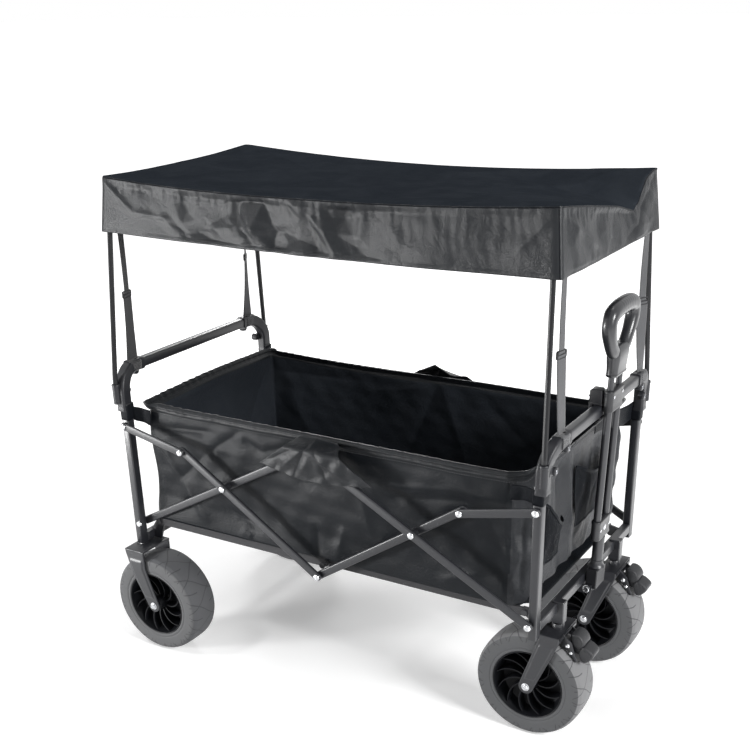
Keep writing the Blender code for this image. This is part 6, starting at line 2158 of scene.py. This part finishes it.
    def make_slide(self) -> None:
        """The two rods, and the grip's loop flowing into its collar.

        The collar's rings grow towards the loop, and the loop's thickness swells where its two
        sides come together.
        """
        rods = Shape()
        for side in Side:
            rod = lathe([(0.0053, 0.140), (0.0053, 0.400)], 24, axis="Z")
            rods.join(rod.moved(at(0.0, side.value * self.twin_y, 0.0)))
        add_piece("handle_slide_rods", rods.moved(self.line), FRAME_COAT,
                  "handle_slide")
        rings = []
        for height, half_y, half_x, corner in (
                (0.3890, 0.0300, 0.0098, 0.0096), (0.3895, 0.0306, 0.0104, 0.0100),
                (0.3925, 0.0312, 0.0110, 0.0104), (0.3930, 0.0300, 0.0103, 0.0099),
                (0.4000, 0.0296, 0.0104, 0.0100), (0.4080, 0.0300, 0.0110, 0.0106),
                (0.4160, 0.0312, 0.0118, 0.0114), (0.4240, 0.0322, 0.0122, 0.0118),
                (0.4310, 0.0318, 0.0118, 0.0114), (0.4380, 0.0280, 0.0102, 0.0098),
                (0.4420, 0.0220, 0.0070, 0.0068)):
            section = round_box((half_y, half_x), corner, 8)
            dip = 1.0 - 0.22 * math.exp(-((height - 0.400) / 0.016) ** 2) * np.exp(
                -(section[:, 0] / 0.010) ** 4)
            rings.append(stacked(section[:, 1] * dip, section[:, 0], height))
        shape = Shape().grid(np.array(rings), wrap_columns=True).patch(rings[0]).patch(rings[-1])
        add_piece("handle_collar_shell", shape.moved(self.line), GRIP_PLASTIC,
                  "handle_slide", ["handle_collar"], sharp=50.0)
        loop = [(0.0, 0.0240, 0.4320), (0.0, 0.0400, 0.4480), (0.0, 0.0530, 0.4700),
                (0.0, 0.0565, 0.4860), (0.0, 0.0500, 0.5000), (0.0, 0.0300, 0.5062),
                (0.0, 0.0, 0.5078)]
        loop += [(x, -y, z) for x, y, z in reversed(loop[:-1])]
        loop.append((0.0, 0.0, 0.4250))
        path = round_path(loop, 12, closed=True)
        section = round_box((0.0146, 0.0128), 0.0118, 7)
        top = smooth_step(0.492, 0.502, path[:, 2])
        sizes = 0.93 + 0.07 * top - 0.10 * smooth_step(0.480, 0.445, path[:, 2])
        ridges = 0.012 * np.sin(path[:, 1] * TURN / 0.0085) * top * (
            np.abs(path[:, 1]) < 0.030)
        grip = sweep(path, section, (1.0, 0.0, 0.0), sizes + ridges, closed=True)
        add_piece("handle_grip_loop", grip.moved(self.line), GRIP_PLASTIC,
                  "handle_slide", ["handle_grip"], sharp=60.0)


@dataclass
class BrakePedals:
    """The two-lobed foot pedals of the casters."""

    half: float = 0.0172
    face: float = 0.0181
    pivot: tuple[float, float] = (0.4790, 0.2010)
    bolt_level: float = 0.0211

    def build(self) -> None:
        """Make both pedals."""
        for side in Side:
            self.make_pedal(side)

    def make_pedal(self, side: Side) -> None:
        """One pedal: two rounded pads on arms from a hub, each with a pressed-in face."""
        y = side.value * Cart.caster_y
        body = "brake_%s" % side.word
        upper = [(0.4830, 0.2220), (0.4920, 0.2245), (0.5020, 0.2190), (0.5080, 0.2080),
                 (0.5040, 0.2000), (0.4940, 0.1970), (0.4840, 0.2050)]
        lower = [(0.5050, 0.2020), (0.5140, 0.2005), (0.5250, 0.1920), (0.5245, 0.1830),
                 (0.5145, 0.1725), (0.5060, 0.1712), (0.5005, 0.1780), (0.4990, 0.1900)]
        shape = Shape()
        for points in (upper, lower):
            smooth = round_path([(x, 0.0, z) for x, z in points], 7, closed=True)
            outline = [(x, z) for x, _, z in smooth]
            shape.join(plate(outline, y - self.half, y + self.half, 0.0042, 5))
            middle = np.mean(outline, axis=0)
            inset = [tuple(middle + 0.62 * (np.array(p) - middle)) for p in outline]
            for hand in (-1, 1):
                low, high = sorted((y + hand * 0.0165, y + hand * self.face))
                shape.join(plate(inset, low, high, 0.0007, 2))
        web = [(0.4745, 0.2040), (0.4790, 0.2075), (0.4900, 0.2060), (0.5040, 0.2010),
               (0.5080, 0.1900), (0.5000, 0.1830), (0.4900, 0.1850), (0.4790, 0.1930)]
        shape.join(plate(web, y - 0.0120, y + 0.0120, 0.0015, 2))
        hub = lathe([(0.0030, y - 0.0178), (0.0066, y - 0.0178), (0.0066, y + 0.0178),
                     (0.0030, y + 0.0178)], 24)
        shape.join(hub.moved(at(self.pivot[0], 0.0, self.pivot[1])))
        node = "brake_pedal_%s" % side.word
        add_piece(node + "_tread", shape, PEDAL_PLASTIC, body, [node], sharp=45.0)
        bolts = Shape()
        profile = [(0.0046, 0.0), (0.0046, 0.0012), (0.0038, 0.0026), (0.0020, 0.0034),
                   (0.0010, 0.0030)]
        for x, z, size in ((*self.pivot, 1.0), (0.4860, 0.1880, 0.72)):
            for hand in (-1, 1):
                head = lathe([(r * size, hand * (self.bolt_level + h * size))
                              for r, h in profile], 20)
                bolts.join(head.moved(at(x, y, z)))
        add_piece(node + "_bolts", bolts, ZINC, "caster_%s" % side.word)


@dataclass
class Elbows:
    """The plastic corners between posts and rails: sleeve, bend, pole socket and rivets.

    A lug is its (y, z) place, the (y, z) place of its root, and how far out its base stands.
    """

    half_depth: float = 0.0120
    half_width: float = 0.0105
    bend: float = 0.0460
    bend_middle: tuple[float, float] = (0.1886, 0.5480)
    foot_x: float = 0.4470
    lugs: tuple[tuple[float, ...], ...] = (
        (0.1800, 0.5790, 0.1800, 0.5920, 0.4560), (0.2150, 0.5500, 0.2320, 0.5515, 0.4505))
    lug_height: float = 0.0114

    def build(self) -> None:
        """Make the four corners."""
        for end in End:
            for side in Side:
                self.make_elbow(end, side)

    def make_elbow(self, end: End, side: Side) -> None:
        """One corner, swept along the route from the post's top to the rail's end."""
        turn = np.radians(np.linspace(0.0, 90.0, 26))
        share = smooth_step(0.0, 1.0, turn / turn[-1])
        middle_y, middle_z = self.bend_middle
        route = stacked(end.value * (self.foot_x + (Cart.rail_x - self.foot_x) * share),
                        side.value * (middle_y + self.bend * np.cos(turn)),
                        middle_z + self.bend * np.sin(turn))
        foot = stacked(end.value * self.foot_x, side.value * Cart.post_y,
                       np.linspace(0.5150, 0.5460, 10))
        tail = stacked(end.value * Cart.rail_x, side.value * np.linspace(0.1860, 0.1660, 6),
                       Cart.rail_z)
        path = np.vstack([foot, route, tail])
        section = round_box((self.half_width, self.half_depth), 0.0048, 6)
        run = np.linspace(0.0, 1.0, len(path))
        collar = np.exp(-((run - 0.02) / 0.018) ** 2) + np.exp(-((run - 0.98) / 0.018) ** 2)
        sizes = 1.0 + 0.055 * collar
        shape = sweep(path, section[:, ::-1], (1.0, 0.0, 0.0), sizes)
        node = "%s_elbow_%s" % (end.word, side.word)
        for lug_y, lug_z, root_y, root_z, base in self.lugs:
            lug = lathe([(0.0066, 0.0), (0.0076, end.value * 0.0060),
                         (0.0076, end.value * 0.0108), (0.0068, end.value * 0.0116)], 24, axis="X")
            shape.join(lug.moved(at(end.value * base, side.value * lug_y, lug_z)))
            x = end.value * (base + 0.0035)
            shape.join(sweep([(x, side.value * lug_y, lug_z), (x, side.value * root_y, root_z)],
                             round_box((0.0070, 0.0042), 0.0020, 3), (1.0, 0.0, 0.0)))
        socket = lathe([(0.0055, 0.5309), (0.0078, 0.5309), (0.0078, 0.5660), (0.0084, 0.5664),
                        (0.0084, 0.5700), (0.0078, 0.5707), (0.0055, 0.5707)], 24, cap=False,
                       axis="Z")
        spot = at(end.value * 0.4530, side.value * 0.2466, 0.0)
        shape.join(socket.moved(spot))
        add_piece(node + "_moulding", shape, ELBOW_PLASTIC, end.body, [node],
                  sharp=48.0)
        bolts = Shape()
        profile = [(0.0040, 0.0), (0.0040, 0.0008), (0.0032, 0.0016), (0.0022, 0.0018),
                   (0.0018, 0.0004)]
        for lug_y, lug_z, _, _, base in self.lugs:
            head = lathe([(r, end.value * h) for r, h in profile], 20, axis="X")
            bolts.join(head.moved(at(end.value * (base + self.lug_height), side.value * lug_y,
                                     lug_z)))
        add_piece(node + "_bolts", bolts, DARK_ZINC, end.body)


def main() -> None:
    """Build the studio and every sub-assembly in order."""
    logging.basicConfig(level=logging.INFO, format="%(name)s: %(message)s")
    Studio().build()
    FoldingFrame().build()
    WheelForks().build()
    for side in Side:
        Wheel("rear_%s" % side.word, "rear_wheel_%s" % side.word,
              (Cart.rear_axle_x, side.value * Cart.post_y, Cart.wheel_radius)).build()
        Wheel("front_%s" % side.word, "front_wheel_%s" % side.word,
              (Cart.front_axle_x, side.value * Cart.caster_y, Cart.wheel_radius)).build()
    Elbows().build()
    BrakePedals().build()
    PullHandle().build()
    Basket().build()
    Canopy().build()


if __name__ == "__main__":
    main()
